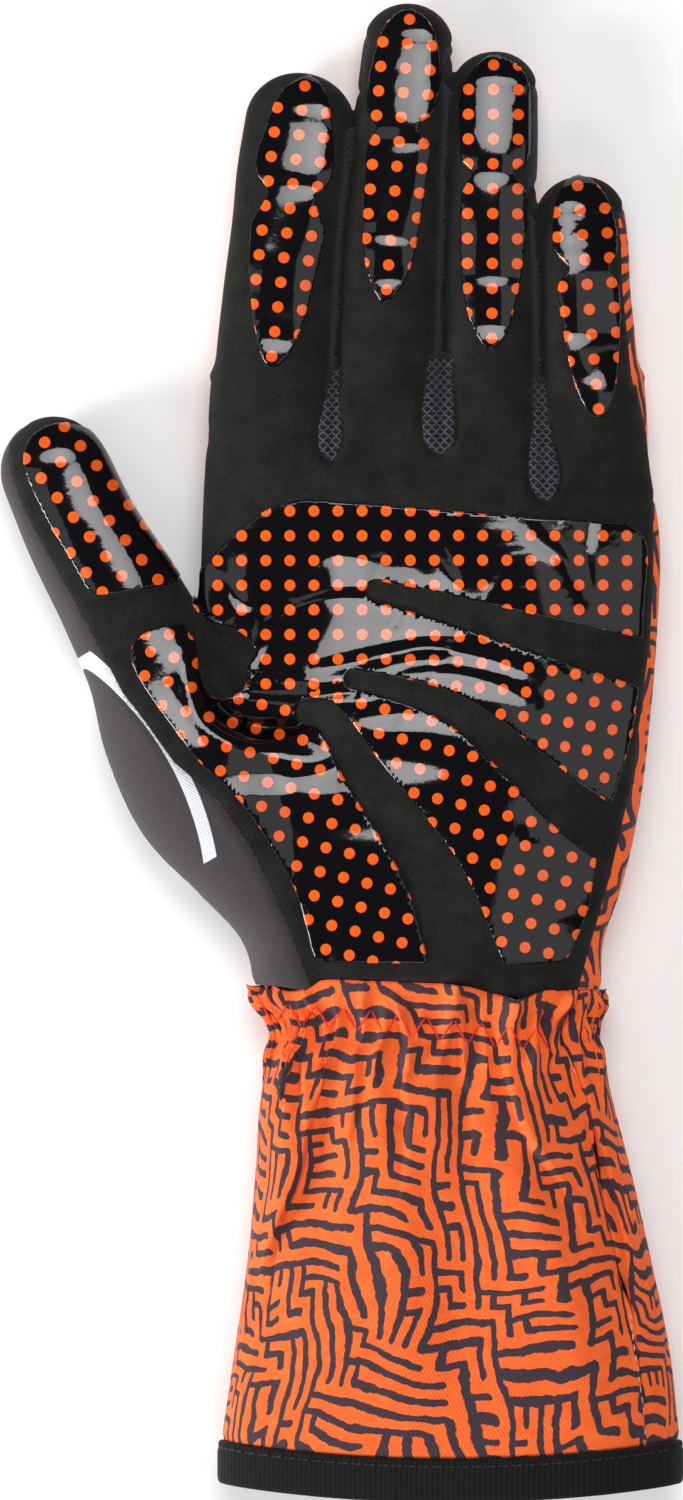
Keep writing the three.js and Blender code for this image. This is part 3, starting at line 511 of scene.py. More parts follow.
seam = rounded(WRIST_SEAM, closed=False)
field = skin[:, 1] - np.interp(skin[:, 0], seam[:, 0], seam[:, 1])
skin, skin_faces, tags = mark(skin, skin_faces, tags, field, OFF, [BACK])
keep = tags != OFF
skin_faces, tags = skin_faces[keep], tags[keep]
skin, skin_faces, tags = mark(skin, skin_faces, tags, suede_field(skin), SUEDE, [BACK])
for place, rows in enumerate(NETS.values()):
    field = plan_distance(skin[:, :2], net_outline(rows))
    field = np.maximum(field, SIDE_SEAM_LEVEL - skin[:, 2])
    skin, skin_faces, tags = mark(skin, skin_faces, tags, field, WEBS + place, [BACK, SUEDE])
for place in range(3):
    field = gap_fields(skin)[place]
    skin, skin_faces, tags = mark(skin, skin_faces, tags, field, STRIPS + place, [BACK])
edge = np.array(THUMB_SIDE_EDGE) / 100
field = plan_distance(skin[:, :2], on_palm(edge[:, 0], edge[:, 1]), 60)
skin, skin_faces, tags = mark(skin, skin_faces, tags, field, THUMB_SIDE, [BACK])


# Grip films: thin glossy patches fused onto the suede, with a bevelled edge all round.
# Those of the fingers narrow at the joint, and three suede grooves cross that of the palm.
FILM_THICK = 0.42
FILM_EDGE = 0.1
FILM_BEVEL = 0.4
FINGER_FILM_LEVEL = 4.6
FILM_OUTLINES = {
    "index": [(-7.6, 134.7), (-11.0, 132.9), (-13.4, 129.5), (-15.4, 124.1), (-17.1, 119),
              (-17.0, 115.1), (-14.8, 111.5), (-16.2, 108.5), (-18.0, 105.7), (-18.5, 101),
              (-18.5, 94.5), (-18.0, 88.3), (-17.2, 82.7), (-15.9, 78), (-13.8, 76.1),
              (-11.2, 77.9), (-9.0, 82.1), (-7.2, 87.1), (-5.6, 93.3), (-4.2, 99.5),
              (-3.4, 103.3), (-4.2, 106.1), (-5.4, 110.3), (-3.0, 112.7), (-2.0, 115.1),
              (-1.6, 120.7), (-2.4, 128.1), (-3.6, 132.1), (-5.4, 134.2)],
    "middle": [(13.0, 148.1), (8.6, 144.9), (6.2, 138.4), (5.1, 131.5), (5.2, 127.5),
               (6.8, 124.3), (5.1, 120.5), (4.6, 113.5), (4.2, 105), (4.3, 99.5), (5.6, 93.5),
               (8.4, 88.9), (12.0, 92.7), (14.4, 98.7), (16.0, 108.3), (17.4, 117.5),
               (17.5, 121.1), (15.4, 124.7), (18.5, 127.3), (19.5, 132.7), (19.3, 139.7),
               (17.4, 145.6)],
    "ring": [(30.2, 138.9), (25.9, 135.6), (23.7, 130.5), (23.5, 124), (23.8, 118),
             (26.0, 115.1), (23.9, 111.2), (23.6, 105.3), (23.8, 96.1), (24.8, 88.3),
             (26.8, 82.7), (29.6, 79.8), (32.6, 82.5), (34.4, 88.3), (36.0, 96.1),
             (36.9, 106), (36.7, 111.7), (34.4, 115.1), (37.3, 118.3), (38.0, 124.5),
             (37.8, 131.1), (35.8, 136.2)],
    "little": [(47.2, 114.9), (43.8, 112.3), (42.3, 107.3), (42.3, 100), (45.2, 96.1),
               (43.1, 92.7), (43.5, 87.5), (44.6, 80.9), (46.0, 74.1), (48.2, 68.7),
               (51.2, 66.1), (53.8, 69.3), (55.0, 75.5), (55.6, 87.1), (55.3, 92.5),
               (53.2, 96.3), (54.8, 99.2), (55.0, 103.5), (53.9, 108.2), (51.2, 113)],
    "thumb": [(-56.6, 65.3), (-60.2, 64.1), (-62.6, 61.9), (-63.6, 58.3), (-62.6, 53.7),
              (-60.6, 49.3), (-57.8, 43.9), (-54.6, 38.7), (-52.0, 34.1), (-50.4, 31.6),
              (-48.0, 30.9), (-43.5, 31.4), (-36.5, 32.6), (-32.6, 34.2), (-33.4, 38.1),
              (-37, 45), (-41, 53), (-44.5, 58.3), (-50.0, 63.5), (-53.6, 65)],
    "palm": [(-29.2, 34), (-27.6, 36.8), (-24.6, 40.2), (-21.2, 43.4), (-17.5, 46.4),
             (-13.4, 48.6), (-8.2, 49.7),
             (-0.6, 49.5), (19.6, 47.8), (33.2, 46.7), (53.4, 45.4), (57.8, 44.6), (60.5, 41.7),
             (60.9, 36.5), (60.2, 29.1), (59.8, 20), (58.8, 10.1), (57.8, 3.3), (55.6, -4.7),
             (52.8, -14), (50.4, -23.3), (49.3, -30.4), (46.9, -37.1), (44.9, -41.2),
             (42.0, -42.4), (33.2, -42.7), (11.6, -42.5), (-3.4, -42.1), (-5.8, -40.5),
             (-7.0, -35.9), (-9.4, -27.7), (-13.4, -20.3), (-18.8, -12.1), (-24.2, -6.1),
             (-29.0, -1.7), (-37.0, 8.9), (-40.2, 13.7), (-42, 17.5), (-41.9, 20.3),
             (-40.6, 22.4), (-38.0, 23.9), (-34.8, 24.9), (-30.5, 25.7), (-30, 30)],
}
# The bare suede inlet at the web, between the thumb's base and the palm
INLET = [(-32, 26.2), (-32, 32), (-28.0, 26.6), (-21.4, 24.1), (-18.0, 21.3), (-17.6, 18.6),
         (-19.0, 16.3), (-19.2, 12.9), (-22.8, 10.4), (-26.4, 10.9), (-28.4, 15), (-29.2, 21)]
# Middle line of each groove from its round inner end, and its half widths at both ends
GROOVES = [
    ([(6.8, 31.7), (20, 28.4), (36, 23.8), (46, 21.2), (70, 14.6)], (2.0, 5.2)),
    ([(2.3, 14.1), (16, 10.7), (26.2, 5.6), (37, -3.6), (47, -12.6), (66, -25)], (1.7, 6.4)),
    ([(-6.6, 7.6), (-2, 5.6), (4.6, -5), (12.6, -16.2), (19.6, -28), (26.5, -49)], (2.6, 7.6)),
]


def along_line(places, line):
    """Distance from an open line in plan, above zero on its left, and the line's nearest share"""
    best = np.full(len(places), 1e9)
    share = np.zeros(len(places))
    steps = np.linalg.norm(np.diff(line, axis=0), axis=1)
    starts = np.concatenate([[0], np.cumsum(steps)])
    for place, (start, end) in enumerate(zip(line, line[1:])):
        run = end - start
        t = np.clip(((places - start) @ run) / (run @ run), 0, 1)
        away = places - start - t[:, None] * run
        left = np.sign(run[0] * away[:, 1] - run[1] * away[:, 0])
        gap = np.linalg.norm(away, axis=1) * np.where(left == 0, 1, left)
        nearer = np.abs(gap) < np.abs(best) - 1e-9
        best = np.where(nearer, gap, best)
        share = np.where(nearer, (starts[place] + t * steps[place]) / starts[-1], share)
    return best, share


def film_field(points, name):
    plan = points[:, :2]
    field = plan_distance(plan, rounded(FILM_OUTLINES[name]))
    if name == "palm":
        near = np.flatnonzero(field < 3)
        spots = plan[near]
        bare = -plan_distance(spots, rounded(INLET))
        for line, (start, end) in GROOVES:
            gap, share = along_line(spots, rounded(line, closed=False))
            bare = np.maximum(bare, start + (end - start) * share - np.abs(gap))
        field[near] = np.maximum(field[near], bare)
    level = SIDE_SEAM_LEVEL + 0.6 if name in ("palm", "thumb") else FINGER_FILM_LEVEL
    return np.maximum(field, level - points[:, 2])


films = np.full(len(skin_faces), -1)
both = np.stack([tags, films], 1)
for place, name in enumerate(FILM_OUTLINES):
    skin, skin_faces, both, field = cut(skin, skin_faces, both, film_field(skin, name))
    both[(field[skin_faces].mean(1) < 0) & (both[:, 0] == SUEDE), 1] = place
    skin, skin_faces, both, _ = cut(skin, skin_faces, both, field + FILM_BEVEL)
tags, films = both.T


# Creases and hollows of the worn palm, pressed into the skin before it is parted into panels:
# the deep fold round the thumb's base, the waves that cross the heel of the hand from it, and
# the slight pull of every seam.
# across, along, length, width, turn, depth, in shares of the palm
DENTS = [(-0.34, 0.43, 0.2, 0.055, -18, 0.1), (-0.36, 0.57, 0.13, 0.06, 60, 0.1)]
# Line in plan, depth, and width to the left and to the right of the line's own direction
FOLDS = [
    ([(-28.0, 21), (-27.2, 14), (-24.6, 8.6), (-19, 5.2), (-11, 4.6), (-3, 6.4)], 3.4, 1.5, 1.9),
    ([(-31.2, 20), (-30.6, 12), (-27.4, 5.4), (-21, 1.4), (-10, -0.8)], -0.8, 1.6, 1.8),
    ([(-32, 30), (-14, 35), (2, 38), (14, 36), (28, 27)], 3.0, 9.0, 24.0),
    ([(-17.6, 29), (-10.4, 34.4), (-3.6, 40.0), (2, 39.0), (7.6, 35.4)], 1.0, 4.2, 5.6),
    ([(-12, 27.4), (-3, 30.2), (3, 30.6), (12, 29.0), (24, 24.0)], 0.75, 0.9, 6.0),
    ([(-6, 15.6), (3.4, 17.6), (9, 19.0), (18, 20.4), (29, 18.2), (38, 15.4)], 0.75, 1.4, 2.2),
    ([(10, 14.6), (21, 15.2), (31, 13.0), (38, 9.4)], 0.5, 1.6, 2.0),
    ([(-13, 11.8), (-6, 11.0), (2, 11.6), (9, 10.0)], 0.7, 1.2, 1.8),
    ([(-4, 7.6), (6, 7.2), (17, 7.6), (25, 5.2)], 0.7, 1.6, 3.0),
    ([(-27, -3.4), (-16, -4.6), (-4, -4.8), (6, -0.6), (18, -1.2), (30, -4)], 0.85, 2.0, 4.4),
    ([(-17, -12), (-4, -13.4), (10, -12.6), (24, -14.4), (34, -17)], 1.15, 2.4, 5.8),
    ([(-12, -29.6), (-1, -32.2), (9, -35.0), (17, -37.4)], 0.75, 2.4, 3.6),
    ([(-25, 37), (-20.4, 30), (-15, 28.6)], 0.3, 1.4, 1.4),
    ([(13, 50), (16.6, 43), (20, 37), (23, 32)], 0.3, 1.3, 1.6),
    ([(34, 48), (39, 42), (44, 37.6), (47.6, 30)], 0.3, 1.4, 1.4),
    ([(50, 50), (48.4, 40), (49.6, 30), (52, 24)], 0.35, 1.6, 2.6),
    ([(-8, 62), (6, 57.6), (20, 56.4), (36, 53)], 0.3, 3.0, 3.4),
    ([(-0.6, 83), (-1.4, 74.7), (-2.4, 57)], 1.0, 0.9, 0.9),
    ([(20.0, 84), (19.8, 77.9), (19.4, 58.5)], 1.1, 1.0, 1.0),
    ([(39.0, 78), (39.6, 69), (40.4, 49)], 1.0, 0.9, 0.9),
]
# Of each finger: how far its pad rolls to its side, the share of its length from which it does,
# and the shares at which its joints press in
FINGER_PADS = {
    "index": (0.17, 0.42, (0.16, 0.64)), "middle": (0.16, 0.42, (0.29, 0.4, 0.64)),
    "ring": (0.0, 0.42, (0.19, 0.34, 0.64)), "little": (-0.18, 0.0, (0.3, 0.64)),
}
PAD_HALF = 9
ROLL_RISE = 5
JOINT_DEPTH = 0.22
JOINT_NARROW = 42
# Fine pleats fanning out of the thumb's fold: start, end, depth
PLEATS = [
    ((-23.6, 14.2), (-8.0, 14.8), 0.4), ((-23.8, 12.8), (-6.2, 12.6), 0.5),
    ((-23.4, 11.2), (-9.0, 10.4), 0.4), ((-26.4, 10.4), (-14.0, 7.2), 0.45),
    ((-27.6, 12.6), (-22.0, 8.0), 0.35),
]
SEAM_PULL = 0.5
SEAM_REACH = 0.9
CLOTH = 1.0
WAVE_LENGTHS = (9, 26)
WAVE_COUNT = 26
WAVE_DEPTH = 0.1
BACK_WAVE_LENGTHS = (16, 50)
BACK_WAVE_COUNT = 20
BACK_WAVE_DEPTH = 0.5


def face_normals(points, faces):
    a, b, c = points[faces[:, 0]], points[faces[:, 1]], points[faces[:, 2]]
    return np.cross(b - a, c - a)


def point_normals(points, faces):
    """Normals of the points of a skin, from the faces round each"""
    flat = face_normals(points, faces)
    total = np.stack([
        sum(np.bincount(faces[:, i], flat[:, a], len(points)) for i in range(3)) for a in range(3)
    ], 1)
    return total / np.maximum(np.linalg.norm(total, axis=1, keepdims=True), 1e-12)


def crease(plan, line, left, right, fade=0.5):
    """A soft groove along a line in plan, one deep, with its own width on either side"""
    gap, share = along_line(plan, rounded(line, closed=False))
    ends = np.sin(np.pi * np.clip(share, 0.02, 0.98)) ** fade
    return ends * np.exp(-(gap / np.where(gap > 0, left, right)) ** 2)


def uneven(plan, seed, count, lengths):
    """A gentle random unevenness of cloth, made of many long waves"""
    chance = np.random.default_rng(seed)
    total = 0
    for _ in range(count):
        length = chance.uniform(*lengths)
        turn, phase = chance.uniform(0, 2 * np.pi, 2)
        run = plan @ [np.cos(turn), np.sin(turn)]
        total = total + np.sin(2 * np.pi * run / length + phase) * length / lengths[1]
    return total / np.sqrt(count)


def hollow_depth(points):
    """How deep the palm side is pressed in at each point"""
    plan = points[:, :2]
    depth = WAVE_DEPTH * uneven(plan, 3, WAVE_COUNT, WAVE_LENGTHS)
    for across, along, length, width, turn, deep in DENTS:
        away = plan - on_palm(across, along)
        turn = np.radians(turn)
        run = (away[:, 0] * np.cos(turn) + away[:, 1] * np.sin(turn)) / (length * PALM_WIDTH)
        side = (away[:, 1] * np.cos(turn) - away[:, 0] * np.sin(turn)) / (width * PALM_WIDTH)
        depth += deep * PALM_HEIGHT * np.exp(-run * run - side * side)
    for line, deep, left, right in FOLDS:
        depth += deep * crease(plan, line, left, right)
    for start, end, deep in PLEATS:
        middle = (np.array(start) + end) / 2 + (0, 0.4)
        depth += deep * crease(plan, [start, middle, end], 0.55, 0.7)
    for finger in FINGERS:
        name, across, start, length, _, lean, _ = finger
        lean = np.radians(lean)
        away = plan - on_palm(across, start)
        run = (away[:, 0] * np.sin(lean) + away[:, 1] * np.cos(lean)) / (length * FINGER_LENGTH)
        side = away[:, 0] * np.cos(lean) - away[:, 1] * np.sin(lean)
        pad = np.exp(-(side / PAD_HALF) ** 4) * np.clip(run * 4 + 0.5, 0, 1)
        roll, roll_from, joints = FINGER_PADS[name]
        depth -= roll * side * pad * np.clip((run - roll_from) * ROLL_RISE, 0, 1)
        for joint in joints:
            depth += JOINT_DEPTH * pad * np.exp(-((run - joint) * length * JOINT_NARROW) ** 2)
    return depth


def distance_to(points, spots):
    """Distance of every point from the nearest of a set of spots"""
    tree = kdtree.KDTree(len(spots))
    for place, spot in enumerate(spots):
        tree.insert(spot, place)
    tree.balance()
    return np.array([tree.find(point)[2] for point in points])


def border_points(faces, tags, count):
    """Numbers of the points where faces of two tags meet, or where the skin ends"""
    ends = np.concatenate([faces[:, [0, 1]], faces[:, [1, 2]], faces[:, [2, 0]]])
    keys = ends.min(1) * count + ends.max(1)
    order = np.argsort(keys, kind="stable")
    keys, marks, ends = keys[order], np.tile(tags, 3)[order], ends[order]
    paired = keys[1:] == keys[:-1]
    differ = np.flatnonzero(paired & (marks[1:] != marks[:-1]))
    lone = np.flatnonzero(~np.concatenate([[False], paired]) & ~np.concatenate([paired, [False]]))
    return np.unique(np.concatenate([ends[differ].ravel(), ends[lone].ravel()]))


normals = point_normals(skin, skin_faces)
palm_side = np.clip(normals[:, 2] * 1.5 - 0.2, 0, 1)
skin[:, 2] -= hollow_depth(skin) * palm_side
back_wave = uneven(skin[:, :2], 8, BACK_WAVE_COUNT, BACK_WAVE_LENGTHS) * BACK_WAVE_DEPTH
skin += normals * (back_wave * np.clip(-normals[:, 2], 0, 1) * np.clip(skin[:, 2], 0, 1))[:, None]
normals = point_normals(skin, skin_faces)
seam_points = border_points(skin_faces, tags, len(skin))
seam_gap = distance_to(skin, skin[seam_points])
skin -= normals * (SEAM_PULL * np.exp(-(seam_gap / SEAM_REACH) ** 2))[:, None]
skin[:, 2] = np.maximum(skin[:, 2], 0)
normals = point_normals(skin, skin_faces)


# The palm: one piece of thin black microsuede, with the palm side of the fingers and the
# front of the thumb. Its nap catches a little light and shows soft mottling.

def closed_sheet(points, faces, normals, lift, depth):
    """A skin with a thickness: its outer face, its inner face and the strip between them"""
    used, numbers = np.unique(faces, return_inverse=True)
    faces = numbers.reshape(-1, 3)
    lift = np.broadcast_to(lift, len(points))[used][:, None]
    depth = np.broadcast_to(depth, len(points))[used][:, None]
    outer = points[used] + normals[used] * lift
    inner = points[used] - normals[used] * depth
    count = len(used)
    ends = np.concatenate([faces[:, [0, 1]], faces[:, [1, 2]], faces[:, [2, 0]]])
    keys = ends[:, 0] * count + ends[:, 1]
    rim = ends[~np.isin(keys, ends[:, 1] * count + ends[:, 0])]
    a, b = rim.T
    strip = np.concatenate([np.stack([b, a, a + count], 1),
                            np.stack([b, a + count, b + count], 1)])
    both = np.concatenate([outer, inner])
    both[:, 2] = np.maximum(both[:, 2], 0)
    return both, np.concatenate([faces, faces[:, ::-1] + count, strip])


def shown(name, points, faces, material, nodes=(), coordinates=None, edge=None):
    """A piece of the glove in the frame, with its finish and the CAD nodes it stands for"""
    mesh = bpy.data.meshes.new(name)
    mesh.from_pydata((np.asarray(points) * MM).tolist(), [], np.asarray(faces).tolist())
    mesh.polygons.foreach_set("use_smooth", [True] * len(mesh.polygons))
    corners = np.zeros(len(mesh.loops), int)
    mesh.loops.foreach_get("vertex_index", corners)
    for label, values in (("cloth", coordinates), ("edge", edge)):
        if values is not None:
            layer = mesh.uv_layers.new(name=label)
            values = values if len(values) == len(corners) else values[corners]
            layer.data.foreach_set("uv", values.astype(np.float32).ravel())
    mesh.materials.append(material)
    piece = bpy.data.objects.new(name, mesh)
    bpy.context.scene.collection.objects.link(piece)
    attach(piece, "root")
    if nodes:
        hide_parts(*nodes)
    return piece


class Shade:
    """A socket of a material; sums and products of it add Math nodes"""

    def __init__(self, tree, socket=None):
        self.tree = tree
        self.socket = socket

    def node(self, kind, settings, inputs, out=0):
        made = self.tree.nodes.new(kind)
        for name, value in settings.items():
            if name == "stops":
                ramp = made.color_ramp
                while len(ramp.elements) < len(value):
                    ramp.elements.new(0.5)
                for element, (place, colour) in zip(ramp.elements, value):
                    element.position = place
                    element.color = colour
            else:
                setattr(made, name, value)
        for name, value in inputs.items():
            if isinstance(value, Shade):
                self.tree.links.new(value.socket, made.inputs[name])
            else:
                made.inputs[name].default_value = value
        return Shade(self.tree, made.outputs[out])

    def maths(self, operation, *values):
        return self.node("ShaderNodeMath", {"operation": operation}, dict(enumerate(values)))

    def __add__(self, other):
        return self.maths("ADD", self, other)

    def __sub__(self, other):
        return self.maths("SUBTRACT", self, other)

    def __rsub__(self, other):
        return self.maths("SUBTRACT", other, self)

    def __mul__(self, other):
        return self.maths("MULTIPLY", self, other)

    def __truediv__(self, other):
        return self.maths("DIVIDE", self, other)

    def __pow__(self, other):
        return self.maths("POWER", self, other)

    __radd__ = __add__
    __rmul__ = __mul__

    def of(self, operation, *others):
        return self.maths(operation, self, *others)

    def ramp(self, low, high, start=0.0, end=1.0):
        """A smooth step from start to end as the value goes from low to high"""
        return self.node("ShaderNodeMapRange", {"interpolation_type": "SMOOTHSTEP"},
                         {0: self, 1: low, 2: high, 3: start, 4: end})

    def mix(self, first, second):
        """From the first colour to the second, by this value"""
        return self.node("ShaderNodeMix", {"data_type": "RGBA"}, {0: self, 6: first, 7: second}, 2)

    def moved(self, scale, offset=(0, 0, 0)):
        """A vector scaled and then moved"""
        return self.node("ShaderNodeVectorMath", {"operation": "MULTIPLY_ADD"},
                         {0: self, 1: scale, 2: offset})

    def noise(self, vector, scale, detail=2.0, out=0):
        return self.node("ShaderNodeTexNoise", {"noise_dimensions": "3D"},
                         {"Vector": vector, "Scale": scale, "Detail": detail}, out)

    def split(self, vector):
        made = self.node("ShaderNodeSeparateXYZ", {}, {0: vector})
        return [Shade(self.tree, made.socket.node.outputs[i]) for i in range(3)]

    def join(self, x, y, z=0.0):
        return self.node("ShaderNodeCombineXYZ", {}, {0: x, 1: y, 2: z})

    def place(self):
        """The spot on the object, in metres"""
        return self.node("ShaderNodeTexCoord", {}, {}, 3)

    def on_cloth(self, layer="cloth"):
        """The spot on the cloth, along its own two directions"""
        return self.node("ShaderNodeUVMap", {"uv_map": layer}, {})


def colour(red, green, blue):
    """A colour of 0 to 255 as the shader takes it"""
    parts = np.array([red, green, blue]) / 255
    parts = np.where(parts < 0.04045, parts / 12.92, ((parts + 0.055) / 1.055) ** 2.4)
    return (*parts.tolist(), 1.0)


def finish(name, settings, build):
    """A material: plain numbers go to the shader, build gives what changes over the surface"""
    material = bpy.data.materials.new(name)
    material.use_nodes = True
    tree = material.node_tree
    shader = tree.nodes["Principled BSDF"]
    for socket, value in settings.items():
        shader.inputs[socket].default_value = value
    links, height, distance = build(Shade(tree))
    for socket, value in links.items():
        tree.links.new(value.socket, shader.inputs[socket])
    bump = Shade(tree).node("ShaderNodeBump", {}, {"Distance": distance, "Height": height,
                                                   "Strength": 1.0})
    tree.links.new(bump.socket, shader.inputs["Normal"])
    return material


SUEDE_COLOUR = colour(20, 20, 19)
SUEDE_RUBBED = colour(35, 35, 33)


def suede_finish(s):
    place = s.place()
    mottle = s.noise(place, 200, 4)
    nap = s.noise(place, 2600, 3)
    shade = (mottle * 0.5 + nap * 0.5).ramp(0.36, 0.66)
    return {"Base Color": shade.mix(SUEDE_COLOUR, SUEDE_RUBBED)}, nap + mottle * 0.5, 0.0002


suede = finish("microsuede", {"Roughness": 0.95, "Specular IOR Level": 0.2,
                              "Sheen Weight": 0.05, "Sheen Roughness": 0.5}, suede_finish)


def panel(name, tag, material, coordinates=None):
    """A panel of the hand: the faces with one tag, as a sheet of cloth"""
    faces = skin_faces[tags == tag]
    points, closed = closed_sheet(skin, faces, normals, 0, CLOTH)
    used = np.unique(faces)
    both = None if coordinates is None else np.tile(coordinates[used], (2, 1))
    return shown(name, points, closed, material, [name], both)


panel("palm_panel", SUEDE, suede)


# The back: orange printed knit over the back of the hand and of the fingers, seen in the
# photograph only as an edge. The print is a maze of dark hand-drawn lines, made by formula:
# from each knot of a wavy lattice one line goes on, either along the cloth or across it.
KNIT_ORANGE = colour(255, 112, 40)
KNIT_DEEP = colour(250, 92, 24)
KNIT_INK = colour(42, 28, 38)
MAZE_STEP = 3.4
MAZE_INK = 0.215
# How fine and how far the lines bend, and how they shake
MAZE_BEND = (0.035, 17.0, 1.0)
MAZE_SHAKE = (0.22, 1.9, 2.0)
MAZE_TREND = 0.17
MAZE_CHANCE = 0.34
MAZE_TURN = 0.67


def maze_ink(s, place):
    """Ink of the maze, from the distance to the lines that leave the nearest knot"""
    drawn = place
    for scale, reach, detail in (MAZE_BEND, MAZE_SHAKE):
        half = -reach / 2
        drift = s.noise(place, scale, detail, 1).moved((reach, reach, 0), (half, half, 0))
        drawn = s.node("ShaderNodeVectorMath", {"operation": "ADD"}, {0: drawn, 1: drift})
    x, y, _ = s.split(drawn.moved((1 / MAZE_STEP, 1 / MAZE_STEP, 0)))
    column, row = (x + 0.5).of("FLOOR"), (y + 0.5).of("FLOOR")
    u, v = x - column, y - row

    def goes_across(east, north):
        knot = s.join(column + east, row + north)
        chance = s.node("ShaderNodeTexWhiteNoise", {"noise_dimensions": "2D"}, {"Vector": knot})
        trend = s.noise(knot, MAZE_TREND, 1.0)
        return (chance * MAZE_CHANCE + trend).of("GREATER_THAN", MAZE_TURN)

    def arm(across, along, missing):
        return (across * across + along * along) ** 0.5 + missing

    own, west, south = goes_across(0, 0), goes_across(-1, 0), goes_across(0, -1)
    near = arm(u.of("MINIMUM", 0), v, 1 - own)
    near = near.of("MINIMUM", arm(u.of("MAXIMUM", 0), v, 1 - west))
    near = near.of("MINIMUM", arm(u, v.of("MINIMUM", 0), own))
    near = near.of("MINIMUM", arm(u, v.of("MAXIMUM", 0), south))
    ragged = s.noise(place, 1.3, 3.5) * 0.12 - 0.06
    return (near + ragged).ramp(MAZE_INK + 0.02, MAZE_INK - 0.02)


def printed_finish(s):
    place = s.on_cloth()
    x, y, _ = s.split(place)
    ink = maze_ink(s, place)
    wales = ((x * 9.0 + y * 3.0).of("SINE") * (y * 8.0).of("SINE")) * 0.5 + 0.5
    fade = s.noise(place, 0.3, 3)
    speck = s.noise(place, 5.0, 1.5)
    base = (fade * 0.6 + speck * 0.4).ramp(0.3, 0.72).mix(KNIT_ORANGE, KNIT_DEEP)
    dark = (speck + wales * 0.25).ramp(0.35, 0.85).mix(KNIT_INK, colour(66, 48, 58))
    return {"Base Color": ink.mix(base, dark)}, wales * 0.6 + speck * 0.4, 0.00011


printed_knit = finish("printed_knit", {"Roughness": 0.85, "Sheen Weight": 0.08}, printed_finish)
back_cloth = np.stack([skin[:, 0] - 0.9 * skin[:, 2], skin[:, 1] + 0.2 * skin[:, 2]], 1)
panel("back_panel", BACK, printed_knit, back_cloth)


# The outer side of the thumb and its base: dark grey stretch twill, with one plain white band
# printed along its outer edge.
TWILL_GREY = colour(66, 58, 64)
TWILL_DARK = colour(46, 40, 46)
BAND_WHITE = colour(226, 228, 234)
BAND_START = (-54.0, 20.0)
BAND_RUN = (0.5, -0.866)
BAND_REACH = 0.4
BAND_WIDTH = 2.8
BAND_HALF_LENGTH = 26
BAND_BOW = 4.6


def twill_finish(s):
    x, y, z = s.split(s.place().moved((1000, 1000, 1000)))
    ribs = ((x * 0.8 + y * 1.3 + z * 0.7) * 8.5).of("SINE") * 0.5 + 0.5
    mottle = s.noise(s.place(), 900, 3)
    shade = (ribs * 0.6 + mottle * 0.4).ramp(0.2, 0.8)
    grey = shade.mix(TWILL_DARK, TWILL_GREY)
    east, north = x - BAND_START[0], y - BAND_START[1]
    run = east * BAND_RUN[0] + north * BAND_RUN[1]
    side = north * BAND_RUN[0] - east * BAND_RUN[1]
    bow = ((run - BAND_HALF_LENGTH) / BAND_HALF_LENGTH) ** 2 * BAND_BOW
    inset = side + bow - z * 0.25 - BAND_REACH
    reach = (inset - BAND_WIDTH / 2).of("ABSOLUTE").ramp(BAND_WIDTH / 2, BAND_WIDTH / 2 - 0.15)
    span = run.ramp(2.0, 2.3) * run.ramp(50.3, 50.0)
    return ({"Base Color": (reach * span).mix(grey, BAND_WHITE)},
            ribs * 0.7 + mottle * 0.3, 0.00014)


grey_knit = finish("grey_twill", {"Roughness": 0.8, "Sheen Weight": 0.1}, twill_finish)
panel("thumb_side_panel", THUMB_SIDE, grey_knit)


# The strips between the fingers: navy ribbed knit, and below each a soft net over the crotch.
# The net is knotted of round threads that meet and part, over a near-black ground that is painted
# shade, the dark seen through its holes.
NAVY = colour(17, 18, 25)
NAVY_LIGHT = colour(40, 43, 56)
# The near-black of the net's holes: painted shade
NET_HOLE_SHADE = colour(5, 5, 8)
NET_THREAD = colour(80, 82, 96)
NET_COLUMN = 0.86
NET_ROW = 0.9
NET_THREAD_WIDTH = 0.17


def navy_finish(s):
    x, y, z = s.split(s.place().moved((1000, 1000, 1000)))
    ribs = ((y * 1.0 + z * 1.6) * 6.5).of("SINE") * 0.5 + 0.5
    wear = s.noise(s.place(), 500, 3)
    shade = (ribs * 0.7 + wear * 0.5).ramp(0.2, 1.1)
    return {"Base Color": shade.mix(NAVY, NAVY_LIGHT)}, ribs, 0.0003


def net_and_hole_shade_finish(s):
    x, y, z = s.split(s.place().moved((1000, 1000, 1000)))
    # The near-black between the knots is painted shade, the glove's dark inside seen through the
    # net
    knots = (x * 10.0).of("SINE") * ((y + z) * 10.0).of("SINE")
    return {"Base Color": knots.ramp(-0.2, 1.2).mix(NET_HOLE_SHADE, NAVY)}, knots, 0.0002


def net_thread_finish(s):
    twist = s.noise(s.place(), 3000, 2)
    return {"Base Color": twist.ramp(0.3, 0.7).mix(NAVY_LIGHT, NET_THREAD)}, twist, 0.00006


